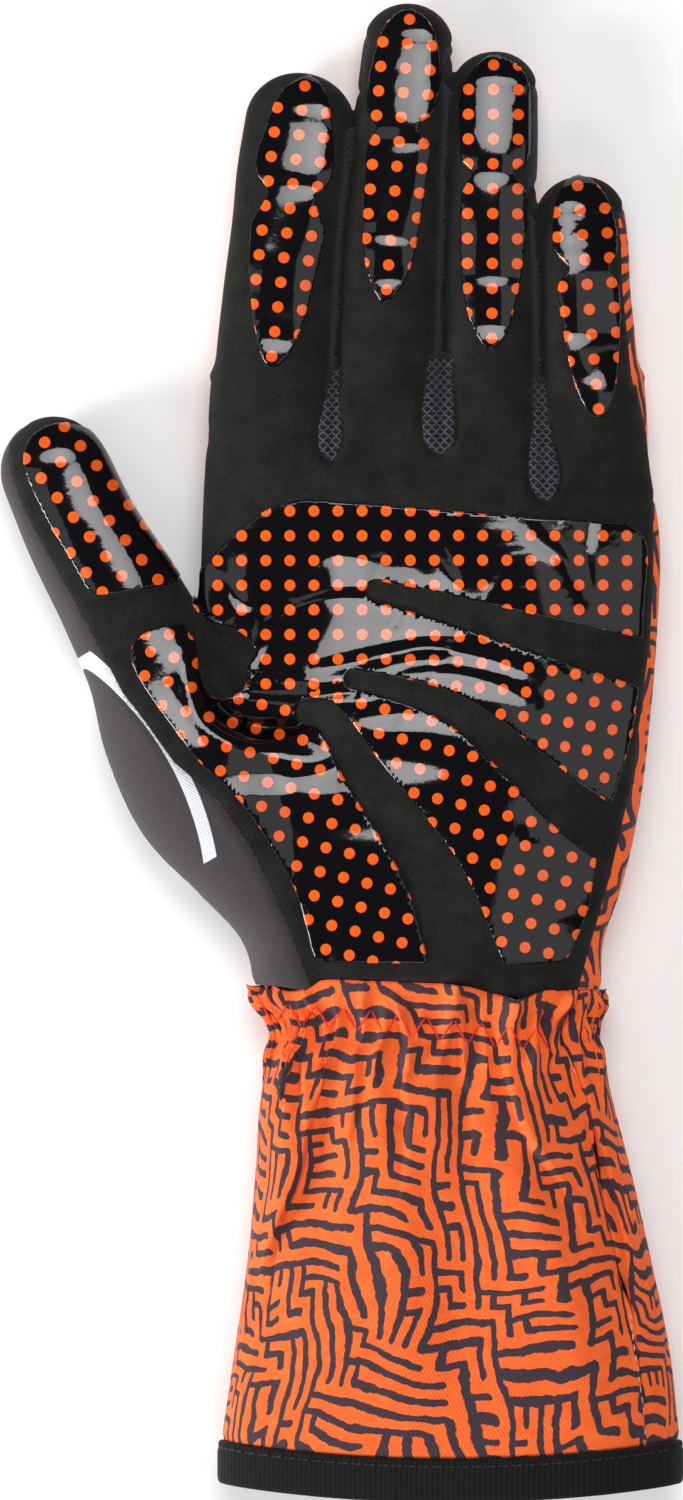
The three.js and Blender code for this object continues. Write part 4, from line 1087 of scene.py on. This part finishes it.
def cord(line, up, radius, sides=6):
    """A closed round thread along a line of points"""
    line = np.asarray(line, float)
    run = np.gradient(line, axis=0)
    run /= np.maximum(np.linalg.norm(run, axis=1, keepdims=True), 1e-9)
    side = np.cross(run, np.broadcast_to(up, line.shape))
    side /= np.maximum(np.linalg.norm(side, axis=1, keepdims=True), 1e-9)
    over = np.cross(side, run)
    turn = np.arange(sides) * 2 * np.pi / sides
    radius = np.broadcast_to(radius, len(line))[:, None, None]
    ring = line[:, None] + radius * (side[:, None] * np.cos(turn)[None, :, None]
                                     + over[:, None] * np.sin(turn)[None, :, None])
    points = np.concatenate([ring.reshape(-1, 3), line[:1], line[-1:]])
    row, step = np.meshgrid(np.arange(len(line) - 1), np.arange(sides), indexing="ij")
    a = (row * sides + step).ravel()
    b = (row * sides + (step + 1) % sides).ravel()
    tube = [np.stack([a, a + sides, b + sides], 1), np.stack([a, b + sides, b], 1)]
    one = np.arange(sides)
    two = (one + 1) % sides
    last = (len(line) - 1) * sides
    tube.append(np.stack([0 * one + last + sides, one, two], 1))
    tube.append(np.stack([0 * one + last + sides + 1, two + last, one + last], 1))
    return points, np.concatenate(tube)


def gathered(parts):
    """Many small meshes as one"""
    points, faces, start = [], [], 0
    for part, own in parts:
        points.append(part)
        faces.append(own + start)
        start += len(part)
    return np.concatenate(points), np.concatenate(faces)


def dropped(tree, plan, from_below=False):
    """Where places in plan meet a cloth seen from above, and the cloth's facing there"""
    spots, facings = [], []
    for x, y in plan:
        start = Vector((x, y, -40 if from_below else 90))
        spot, facing, _, _ = tree.ray_cast(start, Vector((0, 0, 1 if from_below else -1)))
        if spot is not None:
            spots.append(spot[:])
            facings.append(facing[:])
    return np.array(spots).reshape(-1, 3), np.array(facings).reshape(-1, 3)


navy_knit = finish("navy_rib", {"Roughness": 0.9, "Sheen Weight": 0.1}, navy_finish)
net_and_hole_shade = finish("net_painted_hole_shade", {"Roughness": 0.9, "Sheen Weight": 0.1}, net_and_hole_shade_finish)
net_thread = finish("net_thread", {"Roughness": 0.8, "Sheen Weight": 0.2}, net_thread_finish)
skin_tree = BVHTree.FromPolygons(skin.tolist(), skin_faces.tolist())
for place, (gap, rows) in enumerate(NETS.items()):
    panel("fourchette_" + gap, STRIPS + place, navy_knit)
    panel("web_gusset_" + gap, WEBS + place, net_and_hole_shade)
    outline = net_outline(rows)
    low, high = outline.min(0), outline.max(0)
    threads = []
    for column, x in enumerate(np.arange(low[0] - 1, high[0] + 1, NET_COLUMN)):
        y = np.arange(low[1], high[1] - 1.5, NET_ROW / 5)
        wave = np.sin(np.pi * y / NET_ROW + np.pi * column)
        path = np.stack([x + wave * NET_COLUMN * 0.46, y], 1)
        path = path[plan_distance(path, outline) < -0.12]
        for run in np.split(path, np.flatnonzero(np.diff(path[:, 1]) > NET_ROW / 4) + 1):
            spots, facings = dropped(skin_tree, run)
            if len(spots) > 5:
                lift = 0.1 + 0.1 * np.cos(2 * np.pi * spots[:, 1:2] / NET_ROW)
                threads.append(cord(spots + facings * lift, facings, NET_THREAD_WIDTH, 5))
    points, faces = gathered(threads)
    shown("net_threads_" + gap, points, faces, net_thread)


# The grip films: glossy black patches with orange dots, fused onto the suede from the same
# skin. Each has a thin pale edge where the film is cut, partly its own frayed cut and partly a
# painted highlight along the bevel.
FILM_BLACK = colour(11, 10, 13)
DOT_ORANGE = colour(250, 98, 28)
# Pale colour of the films' rim: partly the frayed cut, partly a painted highlight
FILM_EDGE_FRAY_AND_HIGHLIGHT = colour(66, 64, 62)
DOT_SHARE = 0.225
DOT_STEP = 5.0
# Middle dot of each finger's top row and the direction of its rows
DOT_ROWS = {
    "index": ((-7.4, 132.7), (-0.61, -5.0)), "middle": ((13.5, 146.0), (-0.43, -5.04)),
    "ring": ((30.3, 136.9), (-0.04, -5.02)), "little": ((47.1, 112.8), (0.45, -4.98)),
    "thumb": ((-55.4, 64.6), (3.14, -3.8)),
}
# The rows of the palm run straight in its upper lobe, bend down in the second, and are turned
# below the thumb's fold
PALM_DOT = (56.8, 42.7)
PALM_DOT_STEP = (4.8, 4.92)
BENT_FROM, BENT_TO, BENT_BY = 8, 60, 12.0
HEEL_DOT = (-16.0, -11.2)
HEEL_TURN = 13.8
HEEL_LINE = [(-60, 22), (-30, 20), (-19, 12.0), (-8, 11.0), (2.3, 14.1), (16, 10.7),
             (26.2, 5.6), (37, -3.6), (47, -12.6), (66, -25)]


def film_finish(s):
    u, v, _ = s.split(s.on_cloth())
    across = u.of("FRACT") - 0.5
    up = v.of("FRACT") - 0.5
    spot = ((across * across + up * up) ** 0.5).ramp(DOT_SHARE + 0.012, DOT_SHARE - 0.012)
    grain = s.noise(s.place(), 1500, 2)
    rim, _, _ = s.split(s.on_cloth("edge"))
    # The pale rim is partly the film's frayed cut edge and partly a painted highlight along the
    # bevel
    rim_fray_and_highlight = (rim + s.noise(s.place(), 1600, 3) * 0.9).ramp(1.16, 1.34)
    painted = spot.mix(FILM_BLACK, DOT_ORANGE)
    return {"Base Color": (rim_fray_and_highlight * 0.8).mix(painted, FILM_EDGE_FRAY_AND_HIGHLIGHT)}, grain, 0.000006


film = finish("grip_film", {"Roughness": 0.06, "Specular IOR Level": 0.5}, film_finish)


def dot_places(name, points, middles):
    """Rows and columns of the dots, as a share of their spacing, at the corners of faces"""
    plan = points[:, :2]
    if name != "palm":
        start, step = DOT_ROWS[name]
        step = np.array(step) / DOT_STEP
        away = plan - start
        row = away @ step / DOT_STEP
        column = (away[:, 0] * step[1] - away[:, 1] * step[0]) / DOT_STEP
        return np.stack([column + 0.5, row + 0.5], 1)
    under, _ = along_line(middles[:, :2], rounded(HEEL_LINE, closed=False))
    second, _ = along_line(plan, rounded(GROOVES[0][0], closed=False))
    bend = np.clip((plan[:, 0] - BENT_FROM) / (BENT_TO - BENT_FROM), 0, 1)
    bend = bend * np.radians(BENT_BY) * np.clip(-second, 0, 1)
    x = plan[:, 0] - bend * (plan[:, 1] - 20) - PALM_DOT[0]
    y = plan[:, 1] + bend * (plan[:, 0] - BENT_FROM) / 2 - PALM_DOT[1]
    away = plan - HEEL_DOT
    turn = np.radians(HEEL_TURN)
    x = np.where(under < 0, away[:, 0] * np.cos(turn) - away[:, 1] * np.sin(turn), x)
    y = np.where(under < 0, away[:, 0] * np.sin(turn) + away[:, 1] * np.cos(turn), y)
    return np.stack([x / PALM_DOT_STEP[0] + 0.5, y / PALM_DOT_STEP[1] + 0.5], 1)


for place, name in enumerate(FILM_OUTLINES):
    faces = skin_faces[films == place]
    used = np.unique(faces)
    rim = border_points(faces, np.zeros(len(faces), int), len(skin))
    lift = np.full(len(skin), FILM_THICK)
    lift[rim] = FILM_EDGE
    points, closed = closed_sheet(skin, faces, normals, lift, 0.12)
    middles = np.repeat(points[closed].mean(1), 3, axis=0)
    dots = dot_places(name, points[closed.ravel()], middles)
    cut_edge = np.tile(np.stack([np.isin(used, rim), 0 * used], 1), (2, 1))
    shown(name + "_grip", points, closed, film, [name + "_grip"], dots, cut_edge)


# The cuff: a front and a back panel of the printed knit, joined at two side seams, drawn in
# by an elastic just below the wrist and flared towards the hem. The elastic gathers the cloth
# into small puckers, from which longer folds run down.
CUFF_LENGTH = 90.6
CUFF_WIDTH = 92.4
CUFF_HEIGHT = 27
HEM_LENGTH = 8.6
HEM_SAG = 3.2
HEM_THICK = 2.6
GATHER_COUNT = 12
FOLD_DEPTH = 1.3
ELASTIC_SHARE = 0.096
ELASTIC_HALF = 0.03
ELASTIC_PINCH = 1.2
LEFT_SEAM = 196
RIGHT_SEAM = [(0, 28), (0.1, 36), (0.15, 36.5), (0.25, 31.5), (0.5, 31), (1, 31)]
# along, wrist, hem, shift, ripple
CUFF_ROWS = [
    (0, 1.04, 0, -0.002, 0), (0.035, 1.02, 0, 0.002, 0.7), (0.1, 1, 0, 0.009, 1),
    (0.16, 0.97, 0.04, 0.008, 1), (0.25, 0.84, 0.17, 0.01, 0.6), (0.4, 0.64, 0.36, 0.024, 0.2),
    (0.6, 0.43, 0.57, 0.038, 0), (0.8, 0.2, 0.8, 0.045, 0), (1, 0.03, 0.97, 0.043, 0),
]
# around, drift, width, along, reach, depth
CUFF_FOLDS = [
    (62, -18, 8, 0.42, 0.4, 1.0), (82, -8, 7, 0.3, 0.3, -0.7), (104, -2, 8, 0.4, 0.35, 0.9),
    (128, 6, 7, 0.35, 0.3, -0.8), (146, 16, 8, 0.5, 0.35, 1.0), (176, 0, 9, 0.45, 0.4, -0.8),
]
# Line in plan from the top down, depth, width to the left and to the right of the line
CUFF_CREASES = [
    ([(-3.0, -60), (-4.4, -69), (-8, -85.6), (-13.8, -98.4), (-18.2, -112)], 2.8, 5.2, 0.7),
    ([(10.6, -56), (11.0, -64.3), (12.4, -74.5), (11.6, -86)], 2.0, 0.7, 3.8),
    ([(30, -57), (32.8, -67.7), (36.8, -77.3), (42.4, -85.5), (48, -97)], 2.8, 0.7, 5.4),
    ([(42, -57), (45.6, -64), (49.8, -74.5), (52.6, -84), (56, -100), (58, -120)], 2.4, 0.7, 4.6),
    ([(-8.6, -57), (-8.8, -66), (-8.0, -76)], 2.0, 0.6, 2.8),
    ([(-14, -56), (-12.2, -62), (-12.8, -74)], 1.5, 0.7, 2.8),
    ([(22, -58), (24, -66), (25.6, -78)], 1.3, 0.8, 3.0),
    ([(3.6, -57), (3.8, -66), (2, -80)], 1.3, 2.8, 0.8),
    ([(-24, -94), (-16, -112), (-14, -130)], 1.2, 6, 7),
    ([(20, -90), (24, -108), (26, -132)], 1.1, 8, 7),
]
PUCKERS = 46
# The least and most of each pucker's shift, slant, width, start, end and height
PUCKER_RANGES = [(-2.5, 2.5), (-45, 45), (1.7, 3.2), (-0.05, 0.05), (0.14, 0.3), (1.2, 3.2)]
PRINT_RADIUS = 38


def cuff_relief(degrees, along):
    """How far folds and gathers lift the cloth of the cuff"""
    lift = 0
    for around, drift, width, middle, reach, depth in CUFF_FOLDS:
        run = (along - middle) / reach
        side = (degrees - around - drift * (along - middle)) / width
        lift = lift + depth * FOLD_DEPTH * np.exp(-side * side - run * run)
    rows = np.array(CUFF_ROWS)
    chance = np.random.default_rng(12)
    ripple = follow(rows[:, 0], rows[:, 4], along)
    gathers = 0.5 * np.cos(GATHER_COUNT * np.radians(degrees)) * ripple
    for place in range(PUCKERS):
        shift, drift, width, start, end, height = [chance.uniform(*r) for r in PUCKER_RANGES]
        around = place * 360 / PUCKERS + shift
        side = (degrees - around - drift * (along - ELASTIC_SHARE) + 180) % 360 - 180
        rise = np.clip((along - start) / 0.05, 0, 1) * np.clip((end - along) / 0.12, 0, 1)
        gathers = gathers + height * np.exp(-(side / width) ** 2) * rise ** 0.8
    gathers = gathers - 0.6 * ripple
    pinch = ELASTIC_PINCH * np.exp(-((along - ELASTIC_SHARE) / ELASTIC_HALF / 1.3) ** 4)
    puff = 0.5 * np.exp(-((along - 0.035) / 0.025) ** 2)
    return lift * np.minimum(1, along / 0.03) + gathers - pinch + puff


def cuff_points(degrees, along, inset=0.0, relief=1.0):
    """Points of the cuff's cloth, by angle round it and share of its length"""
    place = np.minimum(along, 1)
    rows = np.array(CUFF_ROWS)
    wrist, hem, shift = [follow(rows[:, 0], rows[:, i], place) for i in (1, 2, 3)]
    height = wrist * WRIST_HEIGHT + hem * CUFF_HEIGHT
    grow = cuff_relief(degrees, place) * relief - inset
    across = np.cos(np.radians(degrees))
    up = (1 - np.abs(across) ** ROUNDNESS) ** (1 / ROUNDNESS)
    up = up * np.sign(np.sin(np.radians(degrees)))
    half = (wrist * WRIST_WIDTH + hem * CUFF_WIDTH) / 2 + grow
    x = PALM_MIDDLE + shift * CUFF_WIDTH + half * across
    wave = np.interp(x, seam[:, 0], seam[:, 1]) - WRIST_LEVEL
    y = WRIST_LEVEL - along * CUFF_LENGTH - HEM_SAG * place**2 * (1 - across**2)
    y = y + wave * np.exp(-along / 0.05)
    z = height * REST_SHARE + (height / 2 + grow) * up
    return np.stack([x, y, np.maximum(z, np.maximum(inset, 0))], -1)


def grid_faces(rows, columns):
    """Triangles of a grid of points, row by row"""
    start = (np.arange(rows - 1)[:, None] * columns + np.arange(columns - 1)).ravel()
    return np.concatenate([np.stack([start, start + 1, start + columns + 1], 1),
                           np.stack([start, start + columns + 1, start + columns], 1)])


def cuff_panel(name, start, end, rows, columns):
    """A panel of the cuff between two seams, given as angles along it"""
    along = np.linspace(0.002, 0.998, rows)[:, None] * np.ones(columns)
    share = np.linspace(0.0008, 0.9992, columns)[None]
    right = np.array(RIGHT_SEAM)
    drift = follow(right[:, 0], right[:, 1], along[:, 0])[:, None]
    first = drift if start is None else start
    last = drift + 360 if end is None else end
    degrees = first + (last - first) * share
    points = cuff_points(degrees.ravel(), along.ravel())
    faces = grid_faces(rows, columns)
    facing = point_normals(points, faces)
    upward = np.clip(facing[:, 2] * 2 - 0.5, 0, 1)
    for line, deep, left, wide in CUFF_CREASES:
        pressed = deep * upward * crease(points[:, :2], line, left, wide, 0.7)
        points -= facing * pressed[:, None]
    facing = point_normals(points, faces)
    edge = np.minimum(share, 1 - share) * np.abs(last - first) * 0.6 + 0 * along
    ends = np.minimum(along, 1 - along) * CUFF_LENGTH
    pull = SEAM_PULL * np.exp(-(np.minimum(edge, ends).ravel() / SEAM_REACH) ** 2)
    points = points - facing * pull[:, None]
    points[:, 2] = np.maximum(points[:, 2], 0)
    around = np.radians(degrees - 90) * PRINT_RADIUS
    cloth = np.stack([around, -along * CUFF_LENGTH], -1).reshape(-1, 2)
    closed, closed_faces = closed_sheet(points, faces, point_normals(points, faces), 0, CLOTH)
    shown(name, closed, closed_faces, printed_knit, [name], np.tile(cloth, (2, 1)))
    return points, faces


cuff_front = cuff_panel("cuff_front", None, LEFT_SEAM, 154, 312)
cuff_panel("cuff_back", LEFT_SEAM, None, 130, 240)


# The hem: a band of black knit folded round the mouth of the cuff and stitched through.
HEM_STEPS = 420
HEM_SIDES = 26
HEM_RELIEF = 0.4
HEM_SEAM = 1.4


def hem_band():
    turn = np.linspace(0, 2 * np.pi, HEM_SIDES, endpoint=False)
    flat = np.sign(np.cos(turn)) * np.abs(np.cos(turn)) ** 0.35
    thick = np.sign(np.sin(turn)) * np.abs(np.sin(turn)) ** 0.5
    along = 1 + (0.5 + flat * 0.5) * HEM_LENGTH / CUFF_LENGTH
    groove = 0.25 * np.exp(-((along - 1) * CUFF_LENGTH - HEM_SEAM) ** 2 / 0.3)
    inset = CLOTH / 2 - thick * (HEM_THICK / 2 - groove)
    degrees = np.repeat(np.arange(HEM_STEPS) * 360 / HEM_STEPS, HEM_SIDES)
    along, inset = np.tile(along, HEM_STEPS), np.tile(inset, HEM_STEPS)
    points = cuff_points(degrees, along, inset, HEM_RELIEF)
    ring, side = np.meshgrid(np.arange(HEM_STEPS), np.arange(HEM_SIDES), indexing="ij")
    corner = [((ring + i) % HEM_STEPS * HEM_SIDES + (side + j) % HEM_SIDES).ravel()
              for i, j in ((0, 0), (1, 0), (1, 1), (0, 1))]
    return points, np.stack(corner, 1)


def binding_finish(s):
    x, y, z = s.split(s.place().moved((1000, 1000, 1000)))
    ribs = ((x + z * 0.5) * 6.0).of("SINE") * 0.5 + 0.5
    fluff = s.noise(s.place(), 1400, 3)
    shade = ribs * 0.4 + fluff * 0.6
    return {"Base Color": shade.mix(colour(8, 8, 9), colour(25, 25, 27))}, shade, 0.00016


binding = finish("binding_knit", {"Roughness": 0.95, "Specular IOR Level": 0.25,
                                  "Sheen Weight": 0.05}, binding_finish)
points, faces = hem_band()
shown("cuff_hem", points, faces, binding, ["cuff_hem"])
hem_tree = BVHTree.FromPolygons(points.tolist(), faces.tolist())


# The sewing: a red zigzag over the elastic, a pale overlock down the cuff's right side seam,
# and a black row that holds the hem. Every stitch is a short thread that dives into the cloth
# at both ends.
ZIGZAG_STEP = 2.75
ZIGZAG_RUN = [(-19, -52.4), (-6, -53.0), (6, -54.0), (18, -55.4), (30, -56.8), (40, -57.6),
              (46, -58.4)]
ZIGZAG_HALF = 2.4
THREAD_DIVE = 0.25
SIDE_SEAM = [(50.4, -37.9), (48.6, -44.3), (47.2, -50.1), (45.0, -55.9), (44.8, -59.9),
             (47.6, -66.9), (50.2, -73.3), (51.8, -79.9), (53.6, -86.7), (56, -100.5),
             (58, -117.7), (60, -131.5), (60.4, -138.3)]


def stitches(tree, path, length, gap, radius, lift=0.12, sides=6):
    """A row of short threads along a line in plan, laid on a cloth"""
    steps = np.linalg.norm(np.diff(path, axis=0), axis=1)
    at = np.concatenate([[0], np.cumsum(steps)])
    parts = []
    for start in np.arange(0, at[-1] - length, length + gap):
        run = start + np.linspace(0, length, 7)
        plan = np.stack([np.interp(run, at, path[:, 0]), np.interp(run, at, path[:, 1])], 1)
        spots, facings = dropped(tree, plan)
        if len(spots) == 7:
            bow = np.sin(np.linspace(0, np.pi, 7))[:, None]
            height = bow * (lift + THREAD_DIVE) - THREAD_DIVE
            parts.append(cord(spots + facings * height, facings, radius, sides))
    return parts


def thread_finish(first, second):
    def build(s):
        twist = s.noise(s.place(), 3500, 2)
        return {"Base Color": twist.ramp(0.35, 0.65).mix(first, second)}, twist, 0.00005
    return build


red_thread = finish("red_thread", {"Roughness": 0.8, "Specular IOR Level": 0.2},
                    thread_finish(colour(214, 34, 12), colour(250, 70, 44)))
pale_thread = finish("pale_thread", {"Roughness": 0.6, "Sheen Weight": 0.2},
                     thread_finish(colour(214, 150, 150), colour(236, 208, 214)))
black_thread = finish("black_thread", {"Roughness": 0.6, "Sheen Weight": 0.1},
                      thread_finish(colour(5, 5, 6), colour(20, 20, 22)))
cuff_tree = BVHTree.FromPolygons(cuff_front[0].tolist(), cuff_front[1].tolist())
zig = rounded(ZIGZAG_RUN, 30, closed=False)
corners = np.arange(ZIGZAG_RUN[0][0], ZIGZAG_RUN[-1][0], ZIGZAG_STEP)
zig = np.stack([corners, np.interp(corners, zig[:, 0], zig[:, 1])
                + ZIGZAG_HALF * np.where(np.arange(len(corners)) % 2, 1, -1)], 1)
legs = []
for a, b in zip(zig, zig[1:]):
    legs += stitches(cuff_tree, np.array([a, b]), np.linalg.norm(b - a) * 0.98, 1, 0.2, 0.1)
line = rounded(SIDE_SEAM, 10, closed=False)
seam_rows = stitches(cuff_tree, line[25:], 1.5, 0.6, 0.13)
seam_rows += stitches(cuff_tree, line[25:] + (0.7, 0), 1.5, 0.6, 0.11)
around = np.arange(20, 205, 0.25)
ring = cuff_points(around, np.full(len(around), 1 + HEM_SEAM / CUFF_LENGTH))
hem_row = stitches(hem_tree, ring[:, :2], 1.9, 0.75, 0.19, 0.08)
for name, row, thread in (("zigzag_thread", legs, red_thread),
                          ("side_seam_thread", seam_rows, pale_thread),
                          ("hem_thread", hem_row, black_thread)):
    points, faces = gathered(row)
    shown(name, points, faces, thread)


# The studio: a bright pale table, a round-edged softbox beyond the fingers and another beyond
# the hem, a dim card on either side that the films mirror, and a small lamp low on the left
# that draws out the folds of the cuff.
FLOOR_SIZE = 6.0
FLOOR_GLOW = 0.12
ROOM_GLOW = 0.06
# name, shape, place, width and height, brightness, spread in degrees
LIGHTS = [
    ("softbox_top", "ELLIPSE", (0.02, 0.78, 1.65), (1.5, 0.72), 1.53, 90),
    ("card_left", "RECTANGLE", (-1.2, 0.1, 1.25), (0.5, 1.6), 0.9, 180),
    ("card_right", "RECTANGLE", (1.05, 0.0, 1.5), (1.0, 1.7), 0.9, 180),
    ("lamp_left", "RECTANGLE", (-1.35, -0.45, 0.45), (0.5, 0.5), 32.0, 180),
    ("softbox_foot", "ELLIPSE", (0.1, -1.45, 1.15), (1.5, 0.5), 0.765, 90),
]

floor_mesh = bpy.data.meshes.new("floor")
half = FLOOR_SIZE / 2
floor_mesh.from_pydata([(-half, -half, 0), (half, -half, 0), (half, half, 0), (-half, half, 0)],
                       [], [(0, 1, 2, 3)])
floor_paint = bpy.data.materials.new("floor")
floor_paint.use_nodes = True
for socket, value in {"Base Color": (0.9, 0.9, 0.9, 1), "Roughness": 0.9,
                      "Emission Color": (1, 1, 1, 1), "Emission Strength": FLOOR_GLOW}.items():
    floor_paint.node_tree.nodes["Principled BSDF"].inputs[socket].default_value = value
floor_mesh.materials.append(floor_paint)
floor = bpy.data.objects.new("floor", floor_mesh)
floor.location.z = -0.0005
bpy.context.scene.collection.objects.link(floor)

for name, shape, spot, size, brightness, spread in LIGHTS:
    lamp = bpy.data.lights.new(name, "AREA")
    lamp.shape = shape
    lamp.size, lamp.size_y = size
    lamp.energy = brightness * np.pi * size[0] * size[1]
    lamp.spread = np.radians(spread)
    light = bpy.data.objects.new(name, lamp)
    light.location = spot
    light.rotation_euler = (-Vector(spot)).to_track_quat("-Z", "Y").to_euler()
    bpy.context.scene.collection.objects.link(light)

world = bpy.data.worlds.new("room")
world.use_nodes = True
world.node_tree.nodes["Background"].inputs["Color"].default_value = (1, 1, 1, 1)
world.node_tree.nodes["Background"].inputs["Strength"].default_value = ROOM_GLOW
bpy.context.scene.world = world
